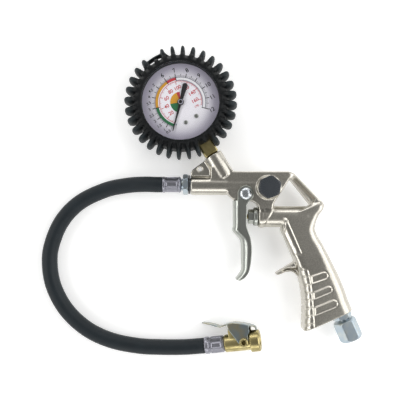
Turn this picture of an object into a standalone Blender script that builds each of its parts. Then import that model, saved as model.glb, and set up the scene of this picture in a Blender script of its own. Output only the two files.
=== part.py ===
"""Portable tire inflator: a pistol-grip air gun with a dial gauge and a hose with a clip-on chuck.

The gun lies on its side: +Z points up from the surface, the barrel runs along X, and the grip points
towards -Y. Inside each assembly the sizes are written in that assembly's own frame, an empty.
"""
import math

import bmesh
import bpy
from mathutils import Matrix, Vector

MM = 0.001
GAP = 0.3                # clearance between fixed pieces, in millimetres like every size below
FINE = 36                # sides of the large round pieces
ROUND = 20               # sides of the medium round pieces
SMALL = 12               # sides of pins, screws and bores

# ---------------------------------------------------------------- gun body
GRIP_HALF_WIDTH = 12.8   # the grip's flat sides; one of them lies on the surface
BASE_SHIFT = (0.1, 0.2)  # puts the middle of the gun and gauge over the origin

BARREL_RADIUS = 7.35
BARREL_LENGTH = 56.0
BARREL_END = (-41.7, 7.6)
FITTING_AXIS_Y = 8.4     # the bore sits high in the barrel, above the trigger's lug
PLATE_HALF = 6.7         # half thickness of the bridge, strut and trigger lug
BRIDGE_TOP = 18.3
BRIDGE_EDGE = 1.0

VALVE_AXIS_Y = -16.5
VALVE_FACE_X = 10.7
TUBE_RADIUS = 8.3
TUBE_LENGTH = 38.0
COLLAR_RADIUS = 8.8
COLLAR_LENGTH = 4.8

SOCKET_RADIUS = 7.75
SOCKET_LENGTH = 20.0
WEB_HALF = 1.6
HANG_HOLE = (-34.2, 20.4)
HANG_HOLE_RADIUS = 1.8

BRACE_HALF = 6.0
BRACE_WEB_HALF = 2.0
SPUR_HALF = 5.0

# Corners of the open window behind the valve tube.
WINDOW_TOP = (34.9, 12.4)
WINDOW_LEFT = (22.4, -6.9)
WINDOW_RIGHT = (51.2, -6.9)
# Parts of the casting's outlines: over the barrel, and down the lug that carries the trigger.
BRIDGE_OVER = [(-13.0, 12.0), (-10.0, BRIDGE_TOP), (34.5, BRIDGE_TOP), (37.0, 15.5)]
BRIDGE_LUG = [(9.4, -6.6), (5.8, -4.5), (1.0, -4.7), (-8.4, -3.6), (-13.3, 0.6)]
BRIDGE_LUG_TOP = -8.8    # where the lug starts on the valve tube's face
SOCKET_FOOT = [(-8.0, BRIDGE_TOP - 0.6), (-12.0, 8.0), (-26.0, 8.0)]
SOCKET_FOOT_LENGTH = 8.0
WEB_CORNER = (-39.9, 20.2)       # the web's free corner, round the hanging hole
WEB_LEFT_TOP = 17.6
WEB_RIGHT = (-20.0, 18.0)
WEB_END = -16.0
BRACE_OVER = [
    (33.2, BRIDGE_TOP), (34.6, BRIDGE_TOP), (38.4, 16.7), (58.4, -3.8), (56.0, -10.0), (50.6, -10.0),
]
BRACE_UNDER = [(35.9, 12.2), (33.6, 13.4)]
BRACE_RECESS = [(38.6, 13.5), (54.6, -3.2), (52.0, -6.6), (37.2, 11.9)]
SPUR_OUTLINE = [
    (40.6, -50.9), (38.9, -51.4), (24.7, -60.1), (24.2, -60.9), (25.9, -61.9), (31.4, -59.8), (36.0, -59.0),
    (39.4, -60.6), (44.0, -66.0),
]

DEFLATE_AXIS = (18.1, 5.7)
BOSS_RADIUS = 8.9
BOSS_TOP = 9.5

AIR_RADIUS = 2.0         # drilled air passages
PASSAGE_RADIUS = 1.8     # from the valve tube up to the deflate valve
BARREL_BORE = 58.9
SEAT_BORE = 4.6
SPRING_BORE = 3.9
GLAND_THREAD = 5.1
GLAND_THREAD_LENGTH = 7.0
SEAT_SHOULDER = 15.3     # from the valve tube's face to the seat's shoulder
VALVE_BORE_DEPTH = 36.0

# Grip, station by station from the beavertail down: front point, back point, half width.
GRIP_STATIONS = [
    ((50.5, -7.6), (58.2, -3.3), 5.0),
    ((44.5, -10.8), (60.4, -4.6), 6.8),
    ((38.5, -14.0), (62.1, -7.6), 7.8),
    ((33.5, -17.6), (61.0, -11.2), 8.1),
    ((29.3, -22.0), (57.9, -15.0), 8.1),
    ((28.6, -26.9), (55.5, -20.3), 8.6),
    ((30.6, -31.4), (54.2, -25.6), 9.0),
    ((33.4, -37.9), (56.4, -31.8), 9.5),
    ((36.3, -44.5), (60.3, -37.6), 10.0),
    ((39.0, -50.8), (63.3, -43.4), 10.4),
    ((40.6, -56.5), (65.8, -48.3), 11.2),
    ((42.3, -63.0), (68.6, -54.0), 12.2),
    ((43.9, -69.2), (71.2, -59.2), GRIP_HALF_WIDTH),
    ((45.0, -75.4), (73.6, -64.4), GRIP_HALF_WIDTH),
    ((45.9, -85.0), (76.8, -72.2), GRIP_HALF_WIDTH),
    ((45.8, -94.1), (79.3, -79.9), GRIP_HALF_WIDTH),
    ((45.3, -104.6), (82.8, -87.9), GRIP_HALF_WIDTH),
]
FRONT_ROUNDING = 0.42    # corner radius as a share of the half width
BACK_ROUNDING = 0.6
CORNER_STEPS = 4

# ---------------------------------------------------------------- trigger and valve
PIVOT = (0.9, 1.1)
PIVOT_SCREW_RADIUS = 2.4
SCREW_HEAD_RADIUS = 4.7
SCREW_HEAD_HEIGHT = 2.3
PIVOT_NUT_ACROSS = 8.0
PIVOT_NUT_HEIGHT = 3.0
EAR_RADIUS = 6.2
EAR_LEFT = -5.3
EAR_RIGHT = 1.7
TRIGGER_WALL = 1.5
TRIGGER_HALF = PLATE_HALF + GAP + TRIGGER_WALL

# Trigger, from the pivot down: front point, back point, corner radius, half width.
TRIGGER_STATIONS = [
    ((-8.4, -3.9), (1.7, -3.9), 2.6, TRIGGER_HALF),
    ((-8.4, -14.0), (1.7, -14.0), 2.6, TRIGGER_HALF),
    ((-8.4, -23.9), (1.6, -22.6), 2.6, TRIGGER_HALF),
    ((-9.1, -26.6), (2.1, -25.4), 2.8, TRIGGER_HALF),
    ((-8.1, -28.9), (3.2, -28.6), 3.0, TRIGGER_HALF),
    ((-5.8, -31.3), (4.4, -32.0), 3.2, TRIGGER_HALF),
    ((-3.7, -33.8), (5.1, -35.2), 3.4, TRIGGER_HALF),
    ((-2.6, -37.3), (5.5, -38.7), 3.6, TRIGGER_HALF),
    ((-2.2, -44.0), (5.6, -44.1), 3.8, TRIGGER_HALF),
    ((-2.2, -50.4), (5.1, -50.4), 3.8, TRIGGER_HALF),
    ((-2.0, -56.6), (4.1, -56.4), 3.4, TRIGGER_HALF),
    ((-3.0, -59.7), (2.5, -60.5), 3.0, 8.2),
    ((-5.0, -62.6), (-0.2, -64.0), 2.6, 7.6),
    ((-6.9, -64.9), (-3.4, -66.0), 2.2, 6.6),
]

GLAND_FLANGE_RADIUS = 7.2
GLAND_FLANGE = 3.1
GLAND_HEX_ACROSS = 10.0
GLAND_HEX = 4.1
PIN_RADIUS = 1.7
SEAT_LENGTH = 2.0
SEAT_HOLE = 2.2
POPPET_LENGTH = 3.5
O_RING_WIRE = 0.7

# ---------------------------------------------------------------- deflate button
KNOB_ACROSS = 15.6
KNOB_REAR = 12.9
KNOB_FRONT = 20.2
KNOB_RECESS_RADIUS = 5.7
KNOB_RECESS = 3.8
DEFLATE_PIN_RADIUS = 1.2
BUSH_FLANGE_RADIUS = 5.2
BUSH_RADIUS = 4.3
BUSH_COLLAR_RADIUS = 4.2
BUSH_BOTTOM = 3.2
BUSH_TOP = 12.9
BUSH_COUNTERBORE = 3.2
BUSH_COUNTERBORE_FLOOR = 6.5
VALVE_HEAD_RADIUS = 2.0

# ---------------------------------------------------------------- air inlet
INLET_ANGLE = -66.0
INLET_START = (75.2, -91.3)
NIPPLE_ACROSS = 13.4
NIPPLE_HEX = 4.0
NIPPLE_NECK_RADIUS = 4.2
NIPPLE_BORE = 2.8
NIPPLE_THREAD_RADIUS = 5.0
NIPPLE_THREAD = 9.0
NUT_START = 6.2
NUT_LENGTH = 16.2
NUT_ACROSS = 16.0
NUT_BORE = 6.2
NUT_LIP = 2.3
SWIVEL_COLLAR_RADIUS = 5.8
SWIVEL_COLLAR = 1.8
NIPPLE_TAIL = 13.0
INLET_SEAL_LENGTH = 1.4

# ---------------------------------------------------------------- hose and its fittings
HOSE_DIAMETER = 12.2
FITTING_THREAD_RADIUS = 4.9
FITTING_THREAD = 9.5
WASHER_THICKNESS = 1.2
WASHER_RADIUS = 7.3
FITTING_HEX = 3.9
FITTING_HEX_ACROSS = 14.2
FITTING_NECK = 1.1
FITTING_NECK_RADIUS = 4.5
BARB_RADIUS = 3.3
FITTING_BORE = 1.8
FERRULE_LENGTH = 14.7
FERRULE_RADIUS = 6.3
HOSE_POINT_STEP = 2.0    # spacing of the tube's points, in hose diameters
HOSE_LEVEL = HOSE_DIAMETER / 2 + 0.1 - GRIP_HALF_WIDTH     # the centre line where it lies on the surface
# The hose's centre line in the gun's frame, chosen by hand: it drops from the fitting to the surface,
# lies in one round sweep and ends in the chuck's ferrule. Its first and last steps are straight.
HOSE_ROUTE = [
    (-63.5, FITTING_AXIS_Y, 0.0),
    (-67.5, FITTING_AXIS_Y, 0.0),
    (-78.0, 8.7, -1.6),
    (-91.0, 8.0, -4.2),
    (-108.8, 4.5, HOSE_LEVEL + 0.2),
    (-129.2, -5.3, HOSE_LEVEL),
    (-143.7, -20.5, HOSE_LEVEL),
    (-151.9, -40.4, HOSE_LEVEL),
    (-152.9, -57.0, HOSE_LEVEL),
    (-149.2, -73.8, HOSE_LEVEL),
    (-139.2, -91.2, HOSE_LEVEL),
    (-123.5, -105.5, HOSE_LEVEL),
    (-104.6, -114.4, HOSE_LEVEL),
    (-83.1, -118.8, HOSE_LEVEL),
    (-65.0, -119.8, HOSE_LEVEL),
    (-47.0, -119.8, HOSE_LEVEL),
    (-34.26, -118.9, HOSE_LEVEL + 0.11),
    (-30.36, -118.35, HOSE_LEVEL + 0.8),
]

# ---------------------------------------------------------------- chuck
CHUCK_START = HOSE_ROUTE[-1]
CHUCK_TURN = 8.0         # degrees in the surface's plane
CHUCK_TILT = 10.0        # degrees up towards the mouth
CHUCK_ROLL = -7.5        # degrees about its own axis, so that a corner of the clip meets the surface
CRIMP_COLLAR = 4.0
CRIMP_COLLAR_RADIUS = 6.7
CRIMP_NECK_RADIUS = 5.8
CRIMP_RADIUS = 7.1
CRIMP_END = 15.9
CHUCK_REAR = 16.2
CHUCK_RADIUS = 6.8
CHUCK_COLLAR_START = 36.4
CHUCK_COLLAR_RADIUS = 8.5
CHUCK_MOUTH = 44.2
MOUTH_RADIUS = 4.7
MOUTH_DEPTH = 9.2
CHUCK_AIR_RADIUS = 2.3
TAIL_THREAD_RADIUS = 3.0
TAIL_THREAD = 6.0
RIVET_X = 32.0
RIVET_HEAD_RADIUS = 3.5
RIVET_HEAD = 1.2
RIVET_RADIUS = 2.2
RIVET_HOLE = 1.6
RIVET_DEPTH = 3.2
CLIP_WALL = 1.0
CLIP_HALF = CHUCK_RADIUS + GAP + CLIP_WALL
STRIP_HALF = CLIP_HALF - 0.2
BLOCK_X = (20.3, 31.0)
BLOCK_TOP = 11.2
BLOCK_HALF = 5.6
CLIP_SPRING_X = 25.4
CLIP_SPRING_BOTTOM = 8.0
CHUCK_SEAL_LENGTH = 2.6
CHUCK_SEAL_BORE = 2.3
# The clip's pressed strip from the thumb tab to the hook: along the chuck, up from its axis, half width.
CLIP_PATH = [
    (0.3, 18.0, 3.6),
    (1.4, 17.7, 4.8),
    (3.4, 17.2, 5.4),
    (7.6, 16.0, 6.0),
    (12.4, 14.0, 6.4),
    (14.8, 13.5, 7.2),
    (17.0, 13.9, STRIP_HALF),
    (19.6, 14.7, STRIP_HALF),
    (24.9, 15.3, STRIP_HALF),
    (32.3, 13.9, STRIP_HALF),
    (37.3, 12.3, STRIP_HALF),
    (40.2, 11.5, 5.0),
    (41.6, 10.5, 3.2),
    (42.1, 8.6, 2.6),
    (42.1, 5.4, 2.6),
]
# The side walls of the clip, from the plate's rear corner round to the rivet's foot.
CHEEK_OUTLINE = [
    (21.2, 10.6), (20.6, 14.8), (24.9, 15.4), (32.3, 14.0),
    (37.2, 12.4), (37.2, 7.4), (35.6, 5.2), (35.5, 1.0),
]
CHEEK_FOOT = 3.5
CLIP_SPRING_TOP = 14.4
HOOK_SLOT = (38.6, 43.3)
HOOK_SLOT_HALF = 3.2

# ---------------------------------------------------------------- gauge
CASE_RADIUS = 32.0
CASE_WALL = 0.8
CASE_SHELF = 1.0         # width of the shelf the lens lies on
BOOT_FLANGE = 2.0
CASE_BACK = BOOT_FLANGE + GAP - GRIP_HALF_WIDTH
CASE_FRONT = 12.9
LENS_THICKNESS = 2.0
LENS_SHELF = CASE_FRONT - LENS_THICKNESS - 2 * GAP
LENS_RADIUS = CASE_RADIUS - CASE_WALL - GAP
BEZEL_WIDTH = 2.1
BEZEL_INNER = CASE_RADIUS - BEZEL_WIDTH
BEZEL_FACE = 1.0
DIAL_RADIUS = CASE_RADIUS - CASE_WALL - CASE_SHELF - GAP
DIAL_DEPTH = 2.6         # from the lens's shelf down to the dial
DIAL_FACE = LENS_SHELF - DIAL_DEPTH
DIAL_THICKNESS = 0.5
DIAL_SCREW_DISTANCE = 16.0
DIAL_SCREW_SPREAD = 17.0
POINTER_SHORT = 7.0      # from the needle's tip to the dial's edge
POINTER_LENGTH = DIAL_RADIUS - POINTER_SHORT
POINTER_TAIL = 14.9
POINTER_BACK = DIAL_FACE + 3 * GAP
POINTER_THICKNESS = 0.4
POINTER_REST_ANGLE = 254.5   # where the needle rests, anticlockwise from +X
STOP_DISTANCE = 17.5
STOP_RADIUS = 0.5
HUB_RADIUS = 2.5
HUB_FRONT = LENS_SHELF - 0.4

BOOT_INNER = CASE_RADIUS + GAP
BOOT_WALL = 4.0
BOOT_RADIUS = BOOT_INNER + BOOT_WALL
BOOT_LIP_INNER = BEZEL_INNER - GAP
BOOT_LIP = 1.9
BOOT_FRONT = CASE_FRONT + BEZEL_FACE + BOOT_LIP + 2 * GAP
FLANGE_OVERLAP = 8.0     # how far the boot's back flange reaches in under the case
BOOT_FLANGE_INNER = CASE_RADIUS - FLANGE_OVERLAP
FIN_COUNT = 32
FIN_HEIGHT = 7.3
FIN_TIP = BOOT_RADIUS + FIN_HEIGHT
FIN_BACK = -8.0
FIN_FRONT = 13.0
FIN_ROOT_HALF = 1.7
FIN_TIP_HALF = 0.9
FIN_STEPS = 5
LOOP_ANGLE = 121.5
LOOP_SPAN = 38.0
LOOP_OPENING = 2.3
LOOP_THICKNESS = 2.2
LOOP_INNER = BOOT_RADIUS + LOOP_OPENING
LOOP_OUTER = LOOP_INNER + LOOP_THICKNESS
LOOP_HALF = 4.0
LOOP_HEIGHT = 4.0

STEM_ANGLE = -58.5
SOCKET_POINT = (-24.58, 31.24)   # middle of the casting's socket face, in the gun's frame
STEM_REACH = 10.4        # from the boot to the socket
SOCKET_FACE = BOOT_RADIUS + STEM_REACH   # from the gauge's centre along the stem
GAUGE_CENTRE = (SOCKET_POINT[0] - SOCKET_FACE * math.cos(math.radians(STEM_ANGLE)),
                SOCKET_POINT[1] - SOCKET_FACE * math.sin(math.radians(STEM_ANGLE)))
STEM_ACROSS = 11.2
STEM_SLOT_HALF = STEM_ACROSS / 2 + 1.0
STEM_THREAD_RADIUS = 4.8
STEM_THREAD = 9.5
STEM_BORE = 1.5
STEM_BLOCK_START = 12.5
STEM_BLOCK_HALF = 6.5
STEM_BLOCK_FRONT = DIAL_FACE - DIAL_THICKNESS - 0.4
TUBE_INSET = 10.0        # from the case's outside to the Bourdon tube's centre line
TUBE_CENTRE_RADIUS = CASE_RADIUS - TUBE_INSET
BOURDON_RADIUS = 2.2
BOURDON_START = -10.0    # inside the stem's block
BOURDON_ROOT = -13.5     # where the tube's hole in the block is centred
BOURDON_SWEEP = 219.0
TIP_BACK = -2.0
TIP_GAP = 1.0            # degrees from the tube's end to the tip block
TIP_SPAN = 12.0          # degrees from the tube's end to the block's far side
TIP_OUTWARD = 2.0
TIP_INWARD = 3.4
MOVEMENT_X = (-9.0, 15.5)
MOVEMENT_Y = (-8.5, 9.5)
PLATE_THICKNESS = 1.2
PLATE_STANDOFF = 1.5     # under the back plate
BACK_PLATE_Z = CASE_BACK + CASE_WALL + PLATE_STANDOFF
STEM_BLOCK_BACK = BACK_PLATE_Z + PLATE_THICKNESS + GAP
FRONT_PLATE_Z = 4.2
PILLAR_RADIUS = 1.2
PILLARS = [(-6.0, -6.0), (-6.0, 7.0)]
PINION_RADIUS = 0.95
PINION_HALF = 2.0
ARBOR_RADIUS = 0.6
SECTOR_PIVOT = (9.0, 5.9)
SECTOR_RATIO = 10.0
SECTOR_TURN = 27.0
SECTOR_ARBOR_RADIUS = 0.7
SECTOR_HUB_RADIUS = 2.0
SECTOR_HALF = 0.6
TAIL_LENGTH = 6.0
TAIL_ANGLE = 115.0
LINK_HALF = 0.8


# ================================================================ helpers
def empty_scene():
    for obj in list(bpy.data.objects):
        bpy.data.objects.remove(obj, do_unlink=True)


def collection(name):
    made = bpy.data.collections.new(name)
    bpy.context.scene.collection.children.link(made)
    return made


def material(part, finish):
    """A sub-part's own Principled material: name, sRGB hex colour, metallic value, roughness."""
    name, hex_colour, metallic, roughness = finish
    made = bpy.data.materials.new(f"{part}_{name}")
    made.use_nodes = True
    shader = made.node_tree.nodes["Principled BSDF"]
    channels = [int(hex_colour[i:i + 2], 16) / 255 for i in (0, 2, 4)]
    linear = [c / 12.92 if c <= 0.04045 else ((c + 0.055) / 1.055) ** 2.4 for c in channels]
    shader.inputs["Base Color"].default_value = (*linear, 1.0)
    shader.inputs["Metallic"].default_value = metallic
    shader.inputs["Roughness"].default_value = roughness
    made.diffuse_color = (*linear, 1.0)
    return made


empty_scene()
PARTS = collection("portable_tire_inflator")
CUTTERS = collection("cutters")

CASTING = ("satin_nickel_casting", "A8A493", 1.0, 0.36)
STEEL = ("zinc_plated_steel", "9DA2A8", 1.0, 0.32)
TRIGGER_STEEL = ("nickel_plated_steel", "8E918C", 1.0, 0.30)
CLIP_STEEL = ("blue_zinc_steel", "8B918C", 1.0, 0.38)
CHROME = ("bright_chrome", "D8DCE0", 1.0, 0.12)
BRASS = ("turned_brass", "B59A4E", 1.0, 0.30)
RUBBER = ("moulded_rubber", "23292C", 0.0, 0.62)
BLACK_PLASTIC = ("black_plastic", "2B2E31", 0.0, 0.42)
DIAL_PAINT = ("white_dial", "E6E4E8", 0.0, 0.55)
NEEDLE_PAINT = ("black_needle", "141414", 0.0, 0.45)
CLEAR = ("clear_lens", "F4F7F8", 0.0, 0.05)


def vec(x, y, z=0.0):
    """A point given in millimetres."""
    return Vector((x, y, z)) * MM


def place(obj, parent=None, at=(0.0, 0.0, 0.0), turn=(0.0, 0.0, 0.0)):
    obj.parent = parent
    obj.location = vec(*at)
    obj.rotation_euler = [math.radians(a) for a in turn]
    return obj


def frame(name, parent=None, at=(0.0, 0.0, 0.0), turn=(0.0, 0.0, 0.0)):
    empty = bpy.data.objects.new(name, None)
    empty.empty_display_size = 0.01
    PARTS.objects.link(empty)
    return place(empty, parent, at, turn)


def in_plane(angle=0.0):
    """Rotation that lays a piece's own Z axis in the XY plane, at an angle from +X."""
    return (0.0, 90.0, angle)


def add(name, mesh, paint, group=PARTS):
    obj = bpy.data.objects.new(name, mesh)
    group.objects.link(obj)
    if paint is not None:
        mesh.materials.append(material(name, paint))
    if group is CUTTERS:
        obj.hide_render = True
        obj.display_type = "WIRE"
    return obj


def smooth(mesh, angle=32.0):
    mesh.shade_smooth()
    mesh.set_sharp_from_angle(angle=math.radians(angle))


def mesh_from(bm, name):
    mesh = bpy.data.meshes.new(name)
    bm.to_mesh(mesh)
    bm.free()
    return mesh


def rod(name, radius, low, high, paint=None, group=PARTS, sides=SMALL, tip_radius=None, spin=0.0):
    """A round or many-sided bar along Z from low to high."""
    bm = bmesh.new()
    top = radius if tip_radius is None else tip_radius
    place_bar = Matrix.Translation(vec(0, 0, (low + high) / 2)) @ Matrix.Rotation(math.radians(spin), 4, "Z")
    bmesh.ops.create_cone(bm, cap_ends=True, segments=sides, radius1=radius * MM, radius2=top * MM,
                          depth=(high - low) * MM, matrix=place_bar)
    mesh = mesh_from(bm, name)
    smooth(mesh)
    return add(name, mesh, paint, group)


def hexagon(name, across_flats, low, high, paint=None, group=PARTS, spin=30.0):
    return rod(name, across_flats / math.sqrt(3), low, high, paint, group, sides=6, spin=spin)


def box(name, low, high, paint=None, group=PARTS):
    bm = bmesh.new()
    size = [(h - l) * MM for l, h in zip(low, high)]
    middle = [(h + l) / 2 for l, h in zip(low, high)]
    stretch = Matrix.Diagonal((*size, 1.0))
    bmesh.ops.create_cube(bm, size=1.0, matrix=Matrix.Translation(vec(*middle)) @ stretch)
    return add(name, mesh_from(bm, name), paint, group)


def turned(name, profile, paint=None, group=PARTS, sides=ROUND, closed=False):
    """A turned piece: (radius, height) points that run down the outer side, spun about Z.

    A closed profile goes back up the bore.
    """
    bm = bmesh.new()
    points = [bm.verts.new(vec(radius, 0, height)) for radius, height in profile]
    for first, second in zip(points, points[1:]):
        bm.edges.new((first, second))
    if closed:
        bm.edges.new((points[-1], points[0]))
    mesh = mesh_from(bm, name)
    obj = add(name, mesh, paint, group)
    spin = obj.modifiers.new("spin", "SCREW")
    spin.axis = "Z"
    spin.steps = sides
    spin.render_steps = sides
    spin.use_merge_vertices = True
    spin.merge_threshold = 0.00001
    spin.use_smooth_shade = True
    return obj


def settled_mesh(obj, name, weld=0.000001):
    """The evaluated mesh of an object, with a curve's loose caps welded."""
    bpy.context.view_layer.update()
    evaluated = obj.evaluated_get(bpy.context.evaluated_depsgraph_get())
    mesh = bpy.data.meshes.new_from_object(evaluated)
    mesh.name = name
    bm = bmesh.new()
    bm.from_mesh(mesh)
    bmesh.ops.remove_doubles(bm, verts=bm.verts, dist=weld)
    bm.to_mesh(mesh)
    bm.free()
    return mesh


def plate(name, outline, low, high, paint=None, group=PARTS):
    """A flat plate with an outline of (x, y) points, between two heights."""
    curve = bpy.data.curves.new(name, "CURVE")
    curve.dimensions = "2D"
    curve.fill_mode = "BOTH"
    curve.extrude = (high - low) / 2 * MM
    spline = curve.splines.new("POLY")
    spline.points.add(len(outline) - 1)
    for point, (x, y) in zip(spline.points, outline):
        point.co = (*vec(x, y), 1.0)
    spline.use_cyclic_u = True
    drawn = bpy.data.objects.new(name + "_outline", curve)
    PARTS.objects.link(drawn)
    mesh = settled_mesh(drawn, name)
    bpy.data.objects.remove(drawn, do_unlink=True)
    bpy.data.curves.remove(curve)
    mesh.transform(Matrix.Translation(vec(0, 0, (low + high) / 2)))
    mesh.materials.clear()
    return add(name, mesh, paint, group)


def loft(name, sections, paint=None, group=PARTS):
    """A solid skinned over closed sections of equal count, from the first to the last."""
    bm = bmesh.new()
    loops = [[bm.verts.new(point) for point in section] for section in sections]
    count = len(loops[0])
    for near, far in zip(loops, loops[1:]):
        for i in range(count):
            j = (i + 1) % count
            bm.faces.new((near[i], near[j], far[j], far[i]))
    bm.faces.new(reversed(loops[0]))
    bm.faces.new(loops[-1])
    bmesh.ops.recalc_face_normals(bm, faces=bm.faces)
    mesh = mesh_from(bm, name)
    smooth(mesh)
    return add(name, mesh, paint, group)


def boolean(target, tool, operation):
    cut = target.modifiers.new(operation.lower() + "_" + tool.name, "BOOLEAN")
    cut.operation = operation
    cut.object = tool
    cut.solver = "EXACT"


def join(target, *tools):
    for tool in tools:
        boolean(target, tool, "UNION")


def cut(target, *tools):
    for tool in tools:
        boolean(target, tool, "DIFFERENCE")


def chamfer(obj, width, segments=1, angle=40.0):
    edge = obj.modifiers.new("edges", "BEVEL")
    edge.width = width * MM
    edge.segments = segments
    edge.limit_method = "ANGLE"
    edge.angle_limit = math.radians(angle)
    edge.use_clamp_overlap = True


def arc(centre, radius, start, end, steps):
    """Points on an arc, in degrees anticlockwise from +X."""
    angles = [math.radians(start + (end - start) * i / steps) for i in range(steps + 1)]
    return [(centre[0] + radius * math.cos(a), centre[1] + radius * math.sin(a)) for a in angles]


def helix(name, radius, wire, low, high, turns, paint, parent, at, turn):
    """A coil spring along Z, as one tube."""
    per_turn = 8
    count = int(turns * per_turn)
    curve = bpy.data.curves.new(name, "CURVE")
    curve.dimensions = "3D"
    curve.bevel_depth = wire * MM
    curve.bevel_resolution = 1
    curve.use_fill_caps = True
    spline = curve.splines.new("POLY")
    spline.points.add(count)
    for i in range(count + 1):
        angle = 2 * math.pi * i / per_turn
        height = low + wire + (high - low - 2 * wire) * i / count
        spline.points[i].co = (*vec(radius * math.cos(angle), radius * math.sin(angle), height), 1.0)
    spots = [point.co.xyz for point in spline.points]
    least = min((far - near).length for near, far in zip(spots, spots[per_turn:])) / MM - 2 * wire
    print(f"{name}: least gap between turns {least:.2f} mm")
    obj = bpy.data.objects.new(name, curve)
    PARTS.objects.link(obj)
    curve.materials.append(material(name, paint))
    return place(obj, parent, at, turn)


# ================================================================ frames
GUN = frame("gun_frame", at=(*BASE_SHIFT, GRIP_HALF_WIDTH))
GAUGE = frame("gauge_frame", GUN, (*GAUGE_CENTRE, 0.0), (0.0, 0.0, STEM_ANGLE))
INLET = frame("inlet_frame", GUN, (*INLET_START, 0.0), in_plane(INLET_ANGLE))
CHUCK = frame("chuck_frame", GUN, CHUCK_START, (CHUCK_ROLL, -CHUCK_TILT, CHUCK_TURN))


# ================================================================ gun body
def rounded_section(front, back, half, front_radius, back_radius):
    """A grip section: a rectangle from the front point to the back point with rounded corners."""
    front, back = Vector((*front, 0.0)), Vector((*back, 0.0))
    along = (back - front).normalized()
    length = (back - front).length
    points = []
    corners = [
        (back_radius, length, half, 0.0), (front_radius, 0.0, half, 90.0),
        (front_radius, 0.0, -half, 180.0), (back_radius, length, -half, 270.0),
    ]
    for radius, reach, height, start in corners:
        centre_along = reach - radius if reach else radius
        centre_height = height - math.copysign(radius, height)
        for i in range(CORNER_STEPS + 1):
            angle = math.radians(start + 90.0 * i / CORNER_STEPS)
            point = front + along * (centre_along + radius * math.cos(angle))
            point.z = centre_height + radius * math.sin(angle)
            points.append(point * MM)
    return points


def grip():
    sections = [rounded_section(front, back, half, half * FRONT_ROUNDING, half * BACK_ROUNDING)
                for front, back, half in GRIP_STATIONS]
    return place(loft("grip_form", sections, None, CUTTERS), GUN)


def along_stem(distance, aside=0.0):
    """A point of the gun's frame, given along and beside the gauge's stem."""
    angle = math.radians(STEM_ANGLE)
    return (GAUGE_CENTRE[0] + distance * math.cos(angle) - aside * math.sin(angle),
            GAUGE_CENTRE[1] + distance * math.sin(angle) + aside * math.cos(angle))


def gun_body():
    barrel_y = BARREL_END[1]
    tube_inside = VALVE_AXIS_Y + TUBE_RADIUS / 2
    bridge = [
        *BRIDGE_OVER, WINDOW_TOP, WINDOW_LEFT, (WINDOW_LEFT[0] - 0.9, tube_inside),
        (VALVE_FACE_X + 0.6, tube_inside), (VALVE_FACE_X, BRIDGE_LUG_TOP), *BRIDGE_LUG,
    ]
    body = place(plate("gun_body", bridge, -PLATE_HALF, PLATE_HALF, CASTING), GUN)
    chamfer(body, BRIDGE_EDGE)

    barrel = place(rod("barrel_form", BARREL_RADIUS, 0, BARREL_LENGTH, None, CUTTERS, FINE),
                   GUN, (*BARREL_END, 0.0), in_plane())
    chamfer(barrel, 0.8, angle=60.0)
    tube = turned("valve_tube_form", [
        (0, TUBE_LENGTH), (TUBE_RADIUS, TUBE_LENGTH), (TUBE_RADIUS, COLLAR_LENGTH),
        (COLLAR_RADIUS, COLLAR_LENGTH - 0.4), (COLLAR_RADIUS, 0.8), (COLLAR_RADIUS - 0.8, 0), (0, 0),
    ], None, CUTTERS, FINE)
    place(tube, GUN, (VALVE_FACE_X, VALVE_AXIS_Y, 0.0), in_plane())
    socket = place(rod("gauge_socket_form", SOCKET_RADIUS, 0, SOCKET_LENGTH, None, CUTTERS, FINE),
                   GUN, (*along_stem(SOCKET_FACE), 0.0), in_plane(STEM_ANGLE))
    foot_start, foot_side = SOCKET_FACE + SOCKET_FOOT_LENGTH, SOCKET_RADIUS - 1.2
    shoulder = [along_stem(foot_start, foot_side), *SOCKET_FOOT, along_stem(foot_start, -foot_side)]
    root_half = PLATE_HALF - 0.4
    root = place(plate("socket_root_form", shoulder, -root_half, root_half, None, CUTTERS), GUN)
    web_left = BARREL_END[0] + 0.4
    web_outline = [(web_left, barrel_y + 5.0), (web_left, WEB_LEFT_TOP), WEB_CORNER,
                   along_stem(SOCKET_FACE + 0.6, -SOCKET_RADIUS + 1.0), WEB_RIGHT, (WEB_END, barrel_y)]
    web = place(plate("web_form", web_outline, -WEB_HALF, WEB_HALF, None, CUTTERS), GUN)

    brace_outline = [*BRACE_OVER, WINDOW_RIGHT, *BRACE_UNDER]
    brace = place(plate("brace_form", brace_outline, -BRACE_HALF, BRACE_HALF, None, CUTTERS), GUN)
    for side in (-1, 1):
        deep, outside = sorted((side * BRACE_WEB_HALF, side * (BRACE_HALF + 1)))
        cut(brace, place(plate(f"brace_recess_{side}", BRACE_RECESS, deep, outside, None, CUTTERS), GUN))

    spur = place(plate("spur_form", SPUR_OUTLINE, -SPUR_HALF, SPUR_HALF, None, CUTTERS), GUN)
    boss = place(rod("deflate_boss_form", BOSS_RADIUS, 0, BOSS_TOP, None, CUTTERS, ROUND),
                 GUN, (*DEFLATE_AXIS, 0.0))
    join(body, barrel, tube, grip(), socket, root, web, brace, spur, boss)

    cut(body, *gun_bores())
    return body


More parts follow.
